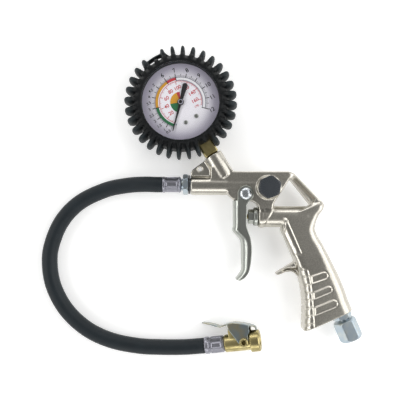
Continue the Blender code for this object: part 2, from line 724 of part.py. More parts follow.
def gun_bores():
    """Everything drilled, tapped or milled in the casting."""
    thread = FITTING_THREAD_RADIUS + GAP
    barrel_bore = turned("barrel_bore", [
        (0, BARREL_BORE), (AIR_RADIUS, BARREL_BORE), (AIR_RADIUS, FITTING_THREAD + GAP),
        (thread, FITTING_THREAD + GAP), (thread, -2), (0, -2),
    ], None, CUTTERS, SMALL)
    place(barrel_bore, GUN, (BARREL_END[0], FITTING_AXIS_Y, 0.0), in_plane())

    gland = GLAND_THREAD + GAP
    valve_bore = turned("valve_bore", [
        (0, VALVE_BORE_DEPTH), (SPRING_BORE, VALVE_BORE_DEPTH), (SPRING_BORE, SEAT_SHOULDER),
        (SEAT_BORE, SEAT_SHOULDER), (SEAT_BORE, GLAND_THREAD_LENGTH + GAP),
        (gland, GLAND_THREAD_LENGTH + GAP), (gland, -2), (0, -2),
    ], None, CUTTERS, ROUND)
    place(valve_bore, GUN, (VALVE_FACE_X, VALVE_AXIS_Y, 0.0), in_plane())

    low = Vector((VALVE_FACE_X + 9.7, VALVE_AXIS_Y + 1.5))
    high = Vector((DEFLATE_AXIS[0], DEFLATE_AXIS[1] - 1.4))
    rise = high - low
    passage = place(rod("outlet_passage", PASSAGE_RADIUS, 0, rise.length, None, CUTTERS),
                    GUN, (*low, 0.0), in_plane(math.degrees(math.atan2(rise.y, rise.x))))

    stem_thread = STEM_THREAD_RADIUS + GAP
    reach = (GAUGE_CENTRE[1] - FITTING_AXIS_Y) / -math.sin(math.radians(STEM_ANGLE)) - SOCKET_FACE
    socket_bore = turned("socket_bore", [
        (0, reach), (AIR_RADIUS, reach), (AIR_RADIUS, STEM_THREAD + GAP), (stem_thread, STEM_THREAD + GAP),
        (stem_thread, -2), (0, -2),
    ], None, CUTTERS, ROUND)
    place(socket_bore, GUN, (*along_stem(SOCKET_FACE), 0.0), in_plane(STEM_ANGLE))

    bush = BUSH_RADIUS + GAP
    head_room = VALVE_HEAD_RADIUS + 0.6
    deflate_bore = turned("deflate_bore", [
        (0, BOSS_TOP + 2), (bush, BOSS_TOP + 2), (bush, BUSH_BOTTOM - GAP), (head_room, BUSH_BOTTOM - GAP),
        (head_room, -4.8), (0, -4.8),
    ], None, CUTTERS, ROUND)
    place(deflate_bore, GUN, (*DEFLATE_AXIS, 0.0))

    nipple = NIPPLE_THREAD_RADIUS + GAP
    inlet_reach = 80.0
    inlet_bore = turned("inlet_bore", [
        (0, 2), (nipple, 2), (nipple, -NIPPLE_THREAD - GAP), (NIPPLE_BORE, -NIPPLE_THREAD - GAP),
        (NIPPLE_BORE, -inlet_reach), (0, -inlet_reach),
    ], None, CUTTERS, ROUND)
    place(inlet_bore, INLET)

    pivot = rod("pivot_hole", PIVOT_SCREW_RADIUS + GAP, -15, 15, None, CUTTERS, SMALL)
    place(pivot, GUN, (*PIVOT, 0.0))
    hang = place(rod("hang_hole", HANG_HOLE_RADIUS, -15, 15, None, CUTTERS, SMALL), GUN, (*HANG_HOLE, 0.0))
    ears = []
    for side in (-1, 1):
        low, high = sorted((side * PLATE_HALF, side * 11.0))
        pocket = rod(f"ear_pocket_{side}", EAR_RADIUS + 2 * GAP, low, high, None, CUTTERS, ROUND)
        ears.append(place(pocket, GUN, (*PIVOT, 0.0)))
    return [barrel_bore, valve_bore, passage, socket_bore, deflate_bore, inlet_bore, pivot, hang, *ears]


# ================================================================ trigger
def trigger_section(front, back, corner, half):
    """The trigger's channel section: down one outer side, round the front, and back inside."""
    front = Vector((front[0] - PIVOT[0], front[1] - PIVOT[1], 0.0))
    back = Vector((back[0] - PIVOT[0], back[1] - PIVOT[1], 0.0))
    along = (back - front).normalized()
    length = (back - front).length

    def spot(distance, height):
        point = front + along * distance
        point.z = height
        return point * MM

    steps = 3
    outer = [spot(length, half)]
    for i in range(steps + 1):
        angle = math.radians(90.0 * i / steps)
        outer.append(spot(corner * (1 - math.sin(angle)), half - corner * (1 - math.cos(angle))))
    outer += [Vector((p.x, p.y, -p.z)) for p in reversed(outer)]
    inner_corner = max(corner - TRIGGER_WALL, 0.4)
    inner_half = half - TRIGGER_WALL
    inner = [spot(length, inner_half)]
    for i in range(steps + 1):
        angle = math.radians(90.0 * i / steps)
        inner.append(spot(TRIGGER_WALL + inner_corner * (1 - math.sin(angle)),
                          inner_half - inner_corner * (1 - math.cos(angle))))
    inner += [Vector((p.x, p.y, -p.z)) for p in reversed(inner)]
    return outer + list(reversed(inner))


def trigger():
    lever = loft("trigger", [trigger_section(*station) for station in TRIGGER_STATIONS], TRIGGER_STEEL)
    place(lever, GUN, (*PIVOT, 0.0))
    right = math.degrees(math.asin((EAR_RIGHT - PIVOT[0]) / EAR_RADIUS)) - 90.0
    outline = arc((0.0, 0.0), EAR_RADIUS, right + 20.0, 180.0, 16)
    outline += [(EAR_LEFT - PIVOT[0], -9.0), (EAR_RIGHT - PIVOT[0] - 0.05, -9.0)]
    for side in (-1, 1):
        low, high = sorted((side * (TRIGGER_HALF - TRIGGER_WALL), side * TRIGGER_HALF))
        ear = place(plate(f"trigger_ear_{side}", outline, low, high, None, CUTTERS), GUN, (*PIVOT, 0.0))
        join(lever, ear)
    hole = rod("trigger_hole", PIVOT_SCREW_RADIUS + GAP, -15, 15, None, CUTTERS, SMALL)
    cut(lever, place(hole, GUN, (*PIVOT, 0.0)))
    return lever


def trigger_screw():
    head = TRIGGER_HALF + GAP
    nut_end = -TRIGGER_HALF - GAP - PIVOT_NUT_HEIGHT
    screw = turned("trigger_screw", [
        (0, head + SCREW_HEAD_HEIGHT), (SCREW_HEAD_RADIUS * 0.55, head + SCREW_HEAD_HEIGHT - 0.25),
        (SCREW_HEAD_RADIUS * 0.88, head + SCREW_HEAD_HEIGHT - 1.0), (SCREW_HEAD_RADIUS, head + 0.5),
        (SCREW_HEAD_RADIUS, head), (PIVOT_SCREW_RADIUS, head), (PIVOT_SCREW_RADIUS, nut_end), (0, nut_end),
    ], CHROME)
    place(screw, GUN, (*PIVOT, 0.0))
    slot_floor = head + SCREW_HEAD_HEIGHT - 1.2
    for spin in (45.0, 135.0):
        low, high = (-2.4, -0.5, slot_floor), (2.4, 0.5, slot_floor + 3)
        slot = box(f"screw_slot_{spin:.0f}", low, high, None, CUTTERS)
        cut(screw, place(slot, GUN, (*PIVOT, 0.0), (0, 0, spin)))
    nut = hexagon("trigger_nut", PIVOT_NUT_ACROSS, nut_end, nut_end + PIVOT_NUT_HEIGHT, STEEL)
    place(nut, GUN, (*PIVOT, 0.0))
    bore = rod("trigger_nut_bore", PIVOT_SCREW_RADIUS + GAP, -15, 0, None, CUTTERS)
    cut(nut, place(bore, GUN, (*PIVOT, 0.0)))


# ================================================================ valve in the tube
def valve():
    """Pieces on the valve's axis; heights are measured from the tube's face, into the tube."""
    face = (VALVE_FACE_X, VALVE_AXIS_Y, 0.0)
    pin_bore = PIN_RADIUS + GAP
    groove = pin_bore + 2 * O_RING_WIRE
    groove_floor = GLAND_THREAD_LENGTH - 2.4
    flange = GLAND_FLANGE + GAP
    gland = turned("gland_nut", [
        (0, GLAND_THREAD_LENGTH), (GLAND_THREAD, GLAND_THREAD_LENGTH), (GLAND_THREAD, -GAP),
        (GLAND_FLANGE_RADIUS, -GAP), (GLAND_FLANGE_RADIUS, 0.5 - flange),
        (GLAND_FLANGE_RADIUS - 0.5, -flange), (0, -flange),
    ], STEEL)
    place(gland, GUN, face, in_plane())
    head = hexagon("gland_hex_form", GLAND_HEX_ACROSS, -flange - GLAND_HEX, -flange + 0.5, None, CUTTERS)
    place(head, GUN, face, in_plane())
    gland_bore = turned("gland_bore", [
        (0, GLAND_THREAD_LENGTH + 2), (groove, GLAND_THREAD_LENGTH + 2), (groove, groove_floor),
        (pin_bore, groove_floor), (pin_bore, -20), (0, -20),
    ], None, CUTTERS)
    place(gland_bore, GUN, face, in_plane())
    join(gland, head)
    cut(gland, gland_bore)

    ring_mid = groove_floor + GAP / 2 + O_RING_WIRE
    ring = turned("gland_o_ring", [
        (pin_bore + 0.65 + O_RING_WIRE * math.cos(a), ring_mid + O_RING_WIRE * math.sin(a))
        for a in [math.radians(90 - 45 * i) for i in range(8)]
    ], RUBBER, closed=True)
    place(ring, GUN, face, in_plane())

    pin_head = TRIGGER_STATIONS[1][0][0] + TRIGGER_WALL + 2 * GAP - VALVE_FACE_X
    poppet_face = SEAT_SHOULDER
    pin = turned("valve_pin", [
        (0, poppet_face - GAP), (PIN_RADIUS - 0.3, poppet_face - GAP), (PIN_RADIUS, poppet_face - GAP - 0.6),
        (PIN_RADIUS, pin_head + 0.5), (PIN_RADIUS - 0.5, pin_head), (0, pin_head),
    ], BRASS, sides=SMALL)
    place(pin, GUN, face, in_plane())

    seat_top = SEAT_SHOULDER - GAP
    seat = turned("valve_seat", [
        (SEAT_BORE - GAP, seat_top), (SEAT_BORE - GAP, seat_top - SEAT_LENGTH),
        (SEAT_HOLE, seat_top - SEAT_LENGTH), (SEAT_HOLE, seat_top),
    ], BRASS, closed=True)
    place(seat, GUN, face, in_plane())
    poppet = turned("valve_poppet", [
        (0, poppet_face + POPPET_LENGTH), (SPRING_BORE - 2.4, poppet_face + POPPET_LENGTH),
        (SPRING_BORE - 2.4, poppet_face + 2.2), (SPRING_BORE - 0.4, poppet_face + 2.2),
        (SPRING_BORE - 0.4, poppet_face), (0, poppet_face),
    ], RUBBER)
    place(poppet, GUN, face, in_plane())
    helix("valve_spring", SPRING_BORE - 1.0, 0.4, poppet_face + 2.5, VALVE_BORE_DEPTH - GAP, 7, STEEL,
          GUN, face, in_plane())


# ================================================================ deflate valve
def deflate_valve():
    axis = (*DEFLATE_AXIS, 0.0)
    knob = hexagon("deflate_button", KNOB_ACROSS, KNOB_REAR, KNOB_FRONT, BLACK_PLASTIC, spin=-8.0)
    place(knob, GUN, axis)
    chamfer(knob, 1.2, 2, angle=35.0)
    recess_top = KNOB_REAR + KNOB_RECESS
    pin_top = recess_top + 1.6
    pin_hole = DEFLATE_PIN_RADIUS + GAP
    recess = turned("knob_recess", [
        (0, pin_top + GAP), (pin_hole, pin_top + GAP), (pin_hole, recess_top),
        (KNOB_RECESS_RADIUS, recess_top), (KNOB_RECESS_RADIUS, KNOB_REAR - 2), (0, KNOB_REAR - 2),
    ], None, CUTTERS)
    cut(knob, place(recess, GUN, axis))

    head_top = BUSH_BOTTOM - GAP
    pin = turned("deflate_pin", [
        (0, pin_top), (DEFLATE_PIN_RADIUS, pin_top), (DEFLATE_PIN_RADIUS, head_top),
        (VALVE_HEAD_RADIUS, head_top - 0.2), (VALVE_HEAD_RADIUS, -0.8), (0, -0.8),
    ], BRASS, sides=SMALL)
    place(pin, GUN, axis)

    shelf = BOSS_TOP + GAP
    bush = turned("deflate_bush", [
        (BUSH_COLLAR_RADIUS, BUSH_TOP), (BUSH_COLLAR_RADIUS, shelf + 1.4), (BUSH_FLANGE_RADIUS, shelf + 1.4),
        (BUSH_FLANGE_RADIUS, shelf), (BUSH_RADIUS, shelf), (BUSH_RADIUS, BUSH_BOTTOM),
        (pin_hole, BUSH_BOTTOM), (pin_hole, BUSH_COUNTERBORE_FLOOR),
        (BUSH_COUNTERBORE, BUSH_COUNTERBORE_FLOOR), (BUSH_COUNTERBORE, BUSH_TOP),
    ], BRASS, closed=True)
    place(bush, GUN, axis)
    helix("deflate_spring", 2.2, 0.35, BUSH_COUNTERBORE_FLOOR + GAP, recess_top - GAP, 6, STEEL,
          GUN, axis, (0, 0, 0))


# ================================================================ air inlet
def inlet():
    """Pieces on the inlet's axis; heights are measured out of the grip's foot."""
    hex_end = GAP + NIPPLE_HEX
    collar_start = NUT_START + NUT_LIP + GAP
    collar_end = collar_start + SWIVEL_COLLAR
    tail = NIPPLE_NECK_RADIUS - 0.2
    nipple = turned("inlet_nipple", [
        (0, NIPPLE_TAIL), (tail - 0.6, NIPPLE_TAIL), (tail, NIPPLE_TAIL - 0.8),
        (tail, collar_end), (SWIVEL_COLLAR_RADIUS, collar_end),
        (SWIVEL_COLLAR_RADIUS, collar_start), (NIPPLE_NECK_RADIUS, collar_start), (NIPPLE_NECK_RADIUS, GAP),
        (NIPPLE_THREAD_RADIUS, GAP), (NIPPLE_THREAD_RADIUS, -NIPPLE_THREAD), (0, -NIPPLE_THREAD),
    ], STEEL)
    place(nipple, INLET)
    head = place(hexagon("nipple_hex_form", NIPPLE_ACROSS, GAP, hex_end, None, CUTTERS, spin=0.0), INLET)
    chamfer(head, 0.5)
    nipple_bore = rod("nipple_bore", NIPPLE_BORE, -NIPPLE_THREAD - 2, NIPPLE_TAIL + 2, None, CUTTERS, ROUND)
    join(nipple, head)
    cut(nipple, place(nipple_bore, INLET))

    nut_end = NUT_START + NUT_LENGTH
    nut = place(hexagon("inlet_nut", NUT_ACROSS, NUT_START, nut_end, STEEL, spin=0.0), INLET)
    chamfer(nut, 1.0, 2, angle=65.0)
    entry = NIPPLE_NECK_RADIUS + GAP
    inside = turned("nut_bore", [
        (0, nut_end + 2), (NUT_BORE, nut_end + 2), (NUT_BORE, NUT_START + NUT_LIP),
        (entry, NUT_START + NUT_LIP), (entry, NUT_START - 2), (0, NUT_START - 2),
    ], None, CUTTERS)
    cut(nut, place(inside, INLET))
    seal_start = collar_end + GAP
    seal_end = seal_start + INLET_SEAL_LENGTH
    seal = turned("inlet_seal", [
        (NUT_BORE - GAP, seal_end), (NUT_BORE - GAP, seal_start),
        (tail + GAP, seal_start), (tail + GAP, seal_end),
    ], RUBBER, closed=True)
    place(seal, INLET)


# ================================================================ hose fitting and hose
def hose_fitting():
    """Pieces on the barrel's axis; heights are measured out of the barrel's end."""
    end = (BARREL_END[0], FITTING_AXIS_Y, 0.0)
    out = in_plane(180.0)
    washer_end = GAP + WASHER_THICKNESS
    washer = turned("hose_washer", [
        (WASHER_RADIUS, washer_end), (WASHER_RADIUS, GAP), (FITTING_THREAD_RADIUS + GAP, GAP),
        (FITTING_THREAD_RADIUS + GAP, washer_end),
    ], RUBBER, closed=True)
    place(washer, GUN, end, out)
    hex_start = washer_end + GAP
    hex_end = hex_start + FITTING_HEX
    neck_end = hex_end + FITTING_NECK
    barb_end = neck_end + FERRULE_LENGTH - 0.8
    fitting = turned("hose_fitting", [
        (0, barb_end), (BARB_RADIUS - 0.6, barb_end), (BARB_RADIUS, barb_end - 1.2),
        (BARB_RADIUS, neck_end), (FITTING_NECK_RADIUS, neck_end), (FITTING_NECK_RADIUS, hex_end - 1.0),
        (FITTING_THREAD_RADIUS, hex_start + 1.0), (FITTING_THREAD_RADIUS, -FITTING_THREAD),
        (0, -FITTING_THREAD),
    ], STEEL)
    place(fitting, GUN, end, out)
    head = hexagon("fitting_hex_form", FITTING_HEX_ACROSS, hex_start, hex_end, None, CUTTERS, spin=0.0)
    place(head, GUN, end, out)
    chamfer(head, 0.5)
    fitting_bore = rod("fitting_bore", FITTING_BORE, -FITTING_THREAD - 2, barb_end + 2, None, CUTTERS)
    join(fitting, head)
    cut(fitting, place(fitting_bore, GUN, end, out))
    start = neck_end + GAP
    stop = start + FERRULE_LENGTH - GAP
    ferrule = turned("hose_ferrule", [
        (FERRULE_RADIUS, stop), (FERRULE_RADIUS, start + 1.2), (FERRULE_RADIUS - 1.0, start),
        (BARB_RADIUS + GAP, start), (BARB_RADIUS + GAP, stop),
    ], STEEL, closed=True)
    place(ferrule, GUN, end, out)
    return stop


def smooth_route(points, step):
    """Points at even steps along a smooth curve through the given points."""
    route = [Vector(p) for p in points]
    dense = []
    for i in range(len(route) - 1):
        before = route[i - 1] if i else route[0] * 2 - route[1]
        after = route[i + 2] if i + 2 < len(route) else route[-1] * 2 - route[-2]
        start, end = route[i], route[i + 1]
        for j in range(24):
            t = j / 24
            square = (2 * before - 5 * start + 4 * end - after) * t ** 2
            cube = (3 * start - before - 3 * end + after) * t ** 3
            dense.append(start + ((end - before) * t + square + cube) / 2)
    dense.append(route[-1])
    lengths = [0.0]
    for near, far in zip(dense, dense[1:]):
        lengths.append(lengths[-1] + (far - near).length)
    count = max(2, round(lengths[-1] / step))
    even, k = [], 0
    for i in range(count + 1):
        target = lengths[-1] * i / count
        while k < len(lengths) - 2 and lengths[k + 1] < target:
            k += 1
        share = (target - lengths[k]) / (lengths[k + 1] - lengths[k])
        even.append(dense[k].lerp(dense[k + 1], min(max(share, 0.0), 1.0)))
    return even, lengths[-1]


def hose():
    ends = Vector(HOSE_ROUTE[0]), Vector(HOSE_ROUTE[-1])
    middle, length = smooth_route(HOSE_ROUTE[1:-1], HOSE_POINT_STEP * HOSE_DIAMETER)
    points = [ends[0], *middle, ends[1]]
    length += (middle[0] - ends[0]).length + (ends[1] - middle[-1]).length
    print(f"hose length {length:.1f} mm, {len(points)} points")
    curve = bpy.data.curves.new("hose", "CURVE")
    curve.dimensions = "3D"
    curve.bevel_depth = HOSE_DIAMETER / 2 * MM
    curve.bevel_resolution = 4
    curve.use_fill_caps = True
    spline = curve.splines.new("POLY")
    spline.points.add(len(points) - 1)
    for point, spot in zip(spline.points, points):
        point.co = (*(spot * MM), 1.0)
    obj = bpy.data.objects.new("hose", curve)
    PARTS.objects.link(obj)
    curve.materials.append(material("hose", RUBBER))
    place(obj, GUN)


# ================================================================ chuck
def chuck():
    """The chuck's own X axis runs from the hose to the mouth; its pieces are turned about it."""
    lie = in_plane()
    origin = (0.0, 0.0, 0.0)
    crimp = turned("chuck_ferrule", [
        (0, CRIMP_END), (CRIMP_NECK_RADIUS, CRIMP_END), (CRIMP_NECK_RADIUS, CRIMP_COLLAR),
        (CRIMP_COLLAR_RADIUS, CRIMP_COLLAR - 0.6), (CRIMP_COLLAR_RADIUS, GAP), (0, GAP),
    ], STEEL)
    place(crimp, CHUCK, origin, lie)
    crimp_start, crimp_stop = CRIMP_COLLAR + 0.6, CRIMP_END - 0.9
    flats = rod("crimp_form", CRIMP_RADIUS, crimp_start, crimp_stop, None, CUTTERS, sides=8, spin=22.5)
    place(flats, CHUCK, origin, lie)
    chamfer(flats, 0.5)
    crimp_bore = rod("crimp_bore", BARB_RADIUS + GAP, -2, CRIMP_END + 2, None, CUTTERS, ROUND)
    join(crimp, flats)
    cut(crimp, place(crimp_bore, CHUCK, origin, lie))

    tail_end = CHUCK_REAR + TAIL_THREAD
    tail = turned("chuck_tail", [
        (TAIL_THREAD_RADIUS, tail_end), (TAIL_THREAD_RADIUS, CHUCK_REAR - GAP),
        (BARB_RADIUS, CHUCK_REAR - GAP), (BARB_RADIUS, 2.4), (BARB_RADIUS - 0.6, 1.2), (FITTING_BORE, 1.2),
        (FITTING_BORE, tail_end),
    ], BRASS, closed=True)
    place(tail, CHUCK, origin, lie)

    body = turned("chuck_body", [
        (0, CHUCK_MOUTH), (CHUCK_COLLAR_RADIUS - 1.4, CHUCK_MOUTH), (CHUCK_COLLAR_RADIUS, CHUCK_MOUTH - 1.2),
        (CHUCK_COLLAR_RADIUS, CHUCK_COLLAR_START + 0.5), (CHUCK_COLLAR_RADIUS - 0.5, CHUCK_COLLAR_START),
        (CHUCK_RADIUS, CHUCK_COLLAR_START), (CHUCK_RADIUS, CHUCK_REAR + 0.6),
        (CHUCK_RADIUS - 0.6, CHUCK_REAR), (0, CHUCK_REAR),
    ], BRASS, sides=FINE)
    place(body, CHUCK, origin, lie)
    low, high = (BLOCK_X[0], 0, -BLOCK_HALF), (BLOCK_X[1], BLOCK_TOP, BLOCK_HALF)
    block = place(box("chuck_block_form", low, high, None, CUTTERS), CHUCK)
    chamfer(block, 0.6)
    join(body, block)
    tail_hole = TAIL_THREAD_RADIUS + GAP
    air = turned("chuck_bore", [
        (0, CHUCK_MOUTH + 2), (MOUTH_RADIUS, CHUCK_MOUTH + 2), (MOUTH_RADIUS, CHUCK_MOUTH - MOUTH_DEPTH),
        (CHUCK_AIR_RADIUS, CHUCK_MOUTH - MOUTH_DEPTH), (CHUCK_AIR_RADIUS, tail_end + GAP),
        (tail_hole, tail_end + GAP), (tail_hole, CHUCK_REAR - 2), (0, CHUCK_REAR - 2),
    ], None, CUTTERS)
    place(air, CHUCK, origin, lie)
    low, high = (HOOK_SLOT[0], 2.0, -HOOK_SLOT_HALF), (HOOK_SLOT[1], 12.0, HOOK_SLOT_HALF)
    slot = place(box("hook_slot", low, high, None, CUTTERS), CHUCK)
    spring_pocket = rod("spring_pocket", 2.9, CLIP_SPRING_BOTTOM, BLOCK_TOP + 2, None, CUTTERS)
    place(spring_pocket, CHUCK, (CLIP_SPRING_X, 0, 0), (-90, 0, 0))
    cut(body, air, slot, spring_pocket)
    for side in (-1, 1):
        low, high = sorted((side * (CHUCK_RADIUS - RIVET_DEPTH - GAP), side * 12))
        pocket = rod(f"rivet_pocket_{side}", RIVET_RADIUS + GAP, low, high, None, CUTTERS, ROUND)
        cut(body, place(pocket, CHUCK, (RIVET_X, 0, 0)))

    for side, name in ((1, "clip_rivet_front"), (-1, "clip_rivet_back")):
        head = CLIP_HALF + GAP
        rivet = turned(name, [
            (RIVET_HOLE, head + RIVET_HEAD), (RIVET_HEAD_RADIUS - 0.5, head + RIVET_HEAD),
            (RIVET_HEAD_RADIUS, head + RIVET_HEAD - 0.5), (RIVET_HEAD_RADIUS, head), (RIVET_RADIUS, head),
            (RIVET_RADIUS, CHUCK_RADIUS - RIVET_DEPTH), (RIVET_HOLE, CHUCK_RADIUS - RIVET_DEPTH),
        ], BRASS, closed=True)
        place(rivet, CHUCK, (RIVET_X, 0, 0), (0, 0, 0) if side > 0 else (180, 0, 0))

    seal_end = CHUCK_MOUTH - MOUTH_DEPTH + GAP
    seal = turned("chuck_seal", [
        (MOUTH_RADIUS - GAP, seal_end + CHUCK_SEAL_LENGTH), (MOUTH_RADIUS - GAP, seal_end),
        (CHUCK_SEAL_BORE, seal_end), (CHUCK_SEAL_BORE, seal_end + CHUCK_SEAL_LENGTH),
    ], RUBBER, closed=True)
    place(seal, CHUCK, origin, lie)
    pin_foot = seal_end - 4.0
    pin_tip = seal_end + CHUCK_SEAL_LENGTH + 1.2
    depressor = turned("chuck_depressor", [
        (0, pin_tip), (0.8, pin_tip - 0.2), (0.9, pin_foot + 1.2),
        (CHUCK_AIR_RADIUS - GAP, pin_foot + 1.2), (CHUCK_AIR_RADIUS - GAP, pin_foot), (0, pin_foot),
    ], BRASS, sides=SMALL)
    place(depressor, CHUCK, origin, lie)
    clip()


def strip_sections(path, thickness, origin):
    """Rectangular sections of a pressed strip along (x, y, half width) points."""
    spots = [Vector((x - origin[0], y - origin[1], 0.0)) for x, y, _ in path]
    sections = []
    for i, (spot, (_, _, half)) in enumerate(zip(spots, path)):
        run = (spots[min(i + 1, len(spots) - 1)] - spots[max(i - 1, 0)]).normalized()
        up = Vector((-run.y, run.x, 0.0)) * (thickness / 2)
        across = Vector((0.0, 0.0, half))
        sections.append([(spot + up - across) * MM, (spot + up + across) * MM,
                         (spot - up + across) * MM, (spot - up - across) * MM])
    return sections


def clip():
    """The clip's origin lies on the rivets' axis."""
    pivot = (RIVET_X, 0.0)
    piece = loft("chuck_clip", strip_sections(CLIP_PATH, CLIP_WALL, pivot), CLIP_STEEL)
    place(piece, CHUCK, (RIVET_X, 0, 0))
    foot = arc((0.0, 0.0), CHEEK_FOOT, 0.0, -150.0, 8)
    cheek = [*((x - RIVET_X, y) for x, y in CHEEK_OUTLINE), *foot]
    for side in (-1, 1):
        low, high = sorted((side * (CLIP_HALF - CLIP_WALL), side * CLIP_HALF))
        wall = place(plate(f"clip_cheek_{side}", cheek, low, high, None, CUTTERS), CHUCK, (RIVET_X, 0, 0))
        join(piece, wall)
    hole = place(rod("clip_hole", RIVET_RADIUS + GAP, -15, 15, None, CUTTERS, ROUND), CHUCK, (RIVET_X, 0, 0))
    cut(piece, hole)
    helix("clip_spring", 2.1, 0.4, CLIP_SPRING_BOTTOM + GAP, CLIP_SPRING_TOP, 3.5, STEEL,
          CHUCK, (CLIP_SPRING_X, 0, 0), (-90, 0, 0))


# ================================================================ gauge
def gauge_case():
    inner = CASE_RADIUS - CASE_WALL
    shelf = inner - CASE_SHELF
    floor = CASE_BACK + CASE_WALL
    case = turned("gauge_case", [
        (0, floor), (shelf - 0.6, floor), (shelf, floor + 0.8), (shelf, LENS_SHELF), (inner, LENS_SHELF),
        (inner, CASE_FRONT), (CASE_RADIUS, CASE_FRONT), (CASE_RADIUS, CASE_BACK + 1.5),
        (CASE_RADIUS - 1.5, CASE_BACK), (0, CASE_BACK),
    ], STEEL, sides=FINE)
    place(case, GAUGE)
    stem_hole = STEM_ACROSS / 2 + GAP
    hole = rod("case_stem_hole", stem_hole, shelf - 6.0, CASE_RADIUS + 3.0, None, CUTTERS, ROUND)
    cut(case, place(hole, GAUGE, (0, 0, 0), in_plane()))

    bezel_back = CASE_FRONT + GAP
    bezel_front = bezel_back + BEZEL_FACE
    bezel = turned("gauge_bezel", [
        (CASE_RADIUS, bezel_front), (CASE_RADIUS, bezel_back), (BEZEL_INNER, bezel_back),
        (BEZEL_INNER, bezel_front),
    ], CHROME, sides=FINE, closed=True)
    place(bezel, GAUGE)
    lens_back = LENS_SHELF + GAP
    lens = turned("gauge_lens", [
        (0, lens_back + LENS_THICKNESS), (LENS_RADIUS - 0.4, lens_back + LENS_THICKNESS),
        (LENS_RADIUS, lens_back + LENS_THICKNESS - 0.4), (LENS_RADIUS, lens_back), (0, lens_back),
    ], CLEAR, sides=FINE)
    place(lens, GAUGE)


def fin_section(share):
    """A fin's section at a share of its height: a thin rectangle, shorter towards the tip."""
    reach = BOOT_RADIUS - 0.8 + (FIN_TIP - BOOT_RADIUS + 0.8) * share
    bow = math.sqrt(max(1.0 - share ** 2.2, 0.0))
    middle = (FIN_FRONT + FIN_BACK) / 2
    half_depth = max((FIN_FRONT - FIN_BACK) / 2 * bow, 0.9)
    half = FIN_ROOT_HALF + (FIN_TIP_HALF - FIN_ROOT_HALF) * share
    return reach, middle, half_depth, half


def fin(angle):
    turn = Matrix.Rotation(math.radians(angle), 4, "Z")
    sections = []
    for i in range(FIN_STEPS + 1):
        share = math.sin(math.radians(90.0 * i / FIN_STEPS))
        reach, middle, half_depth, half = fin_section(share)
        corners = [(half, half_depth), (-half, half_depth), (-half, -half_depth), (half, -half_depth)]
        sections.append([turn @ vec(reach, side, middle + depth) for side, depth in corners])
    return sections


def fin_group():
    """All the fins as one set of separate bodies, for one union with the boot."""
    bm = bmesh.new()
    step = 360.0 / FIN_COUNT
    loop_at = LOOP_ANGLE - STEM_ANGLE
    for k in range(FIN_COUNT):
        angle = k * step
        if k == 0 or abs((angle - loop_at + 180) % 360 - 180) < step / 2:
            continue
        loops = [[bm.verts.new(p) for p in section] for section in fin(angle)]
        for near, far in zip(loops, loops[1:]):
            for i in range(4):
                j = (i + 1) % 4
                bm.faces.new((near[i], near[j], far[j], far[i]))
        bm.faces.new(reversed(loops[0]))
        bm.faces.new(loops[-1])
    bmesh.ops.recalc_face_normals(bm, faces=bm.faces)
    return place(add("fins_form", mesh_from(bm, "fins_form"), None, CUTTERS), GAUGE)


def gauge_boot():
    back = -GRIP_HALF_WIDTH
    wall_start = back + BOOT_FLANGE
    lip_back = CASE_FRONT + 2 * GAP + BEZEL_FACE
    boot = turned("gauge_boot", [
        (BOOT_LIP_INNER, BOOT_FRONT - 0.6), (BOOT_LIP_INNER + 0.6, BOOT_FRONT),
        (BOOT_RADIUS - 2.2, BOOT_FRONT), (BOOT_RADIUS, BOOT_FRONT - 2.2), (BOOT_RADIUS, back + 1.6),
        (BOOT_RADIUS - 1.6, back), (BOOT_FLANGE_INNER, back), (BOOT_FLANGE_INNER, wall_start),
        (BOOT_INNER, wall_start), (BOOT_INNER, lip_back), (BOOT_LIP_INNER, lip_back),
    ], RUBBER, sides=FINE + 20, closed=True)
    place(boot, GAUGE)
    loop_at = LOOP_ANGLE - STEM_ANGLE
    half_span = LOOP_SPAN / 2
    steps = 10
    outer = arc((0, 0), LOOP_OUTER, -half_span + 5, half_span - 5, steps)
    inner = arc((0, 0), LOOP_INNER, half_span - 6, -half_span + 6, steps)
    foot = BOOT_RADIUS - 0.8
    left = arc((0, 0), foot, half_span, half_span - 5, 1)
    right = arc((0, 0), foot, 5 - half_span, -half_span, 1)
    band = plate("loop_form", outer + left + inner + right, LOOP_HEIGHT - LOOP_HALF, LOOP_HEIGHT + LOOP_HALF,
                 None, CUTTERS)
    place(band, GAUGE, (0, 0, 0), (0, 0, loop_at))
    join(boot, fin_group(), band)
    slot = box("stem_slot", (BOOT_FLANGE_INNER + 4, -STEM_SLOT_HALF, back - 2),
               (BOOT_RADIUS + 10, STEM_SLOT_HALF, STEM_SLOT_HALF), None, CUTTERS)
    cut(boot, place(slot, GAUGE))


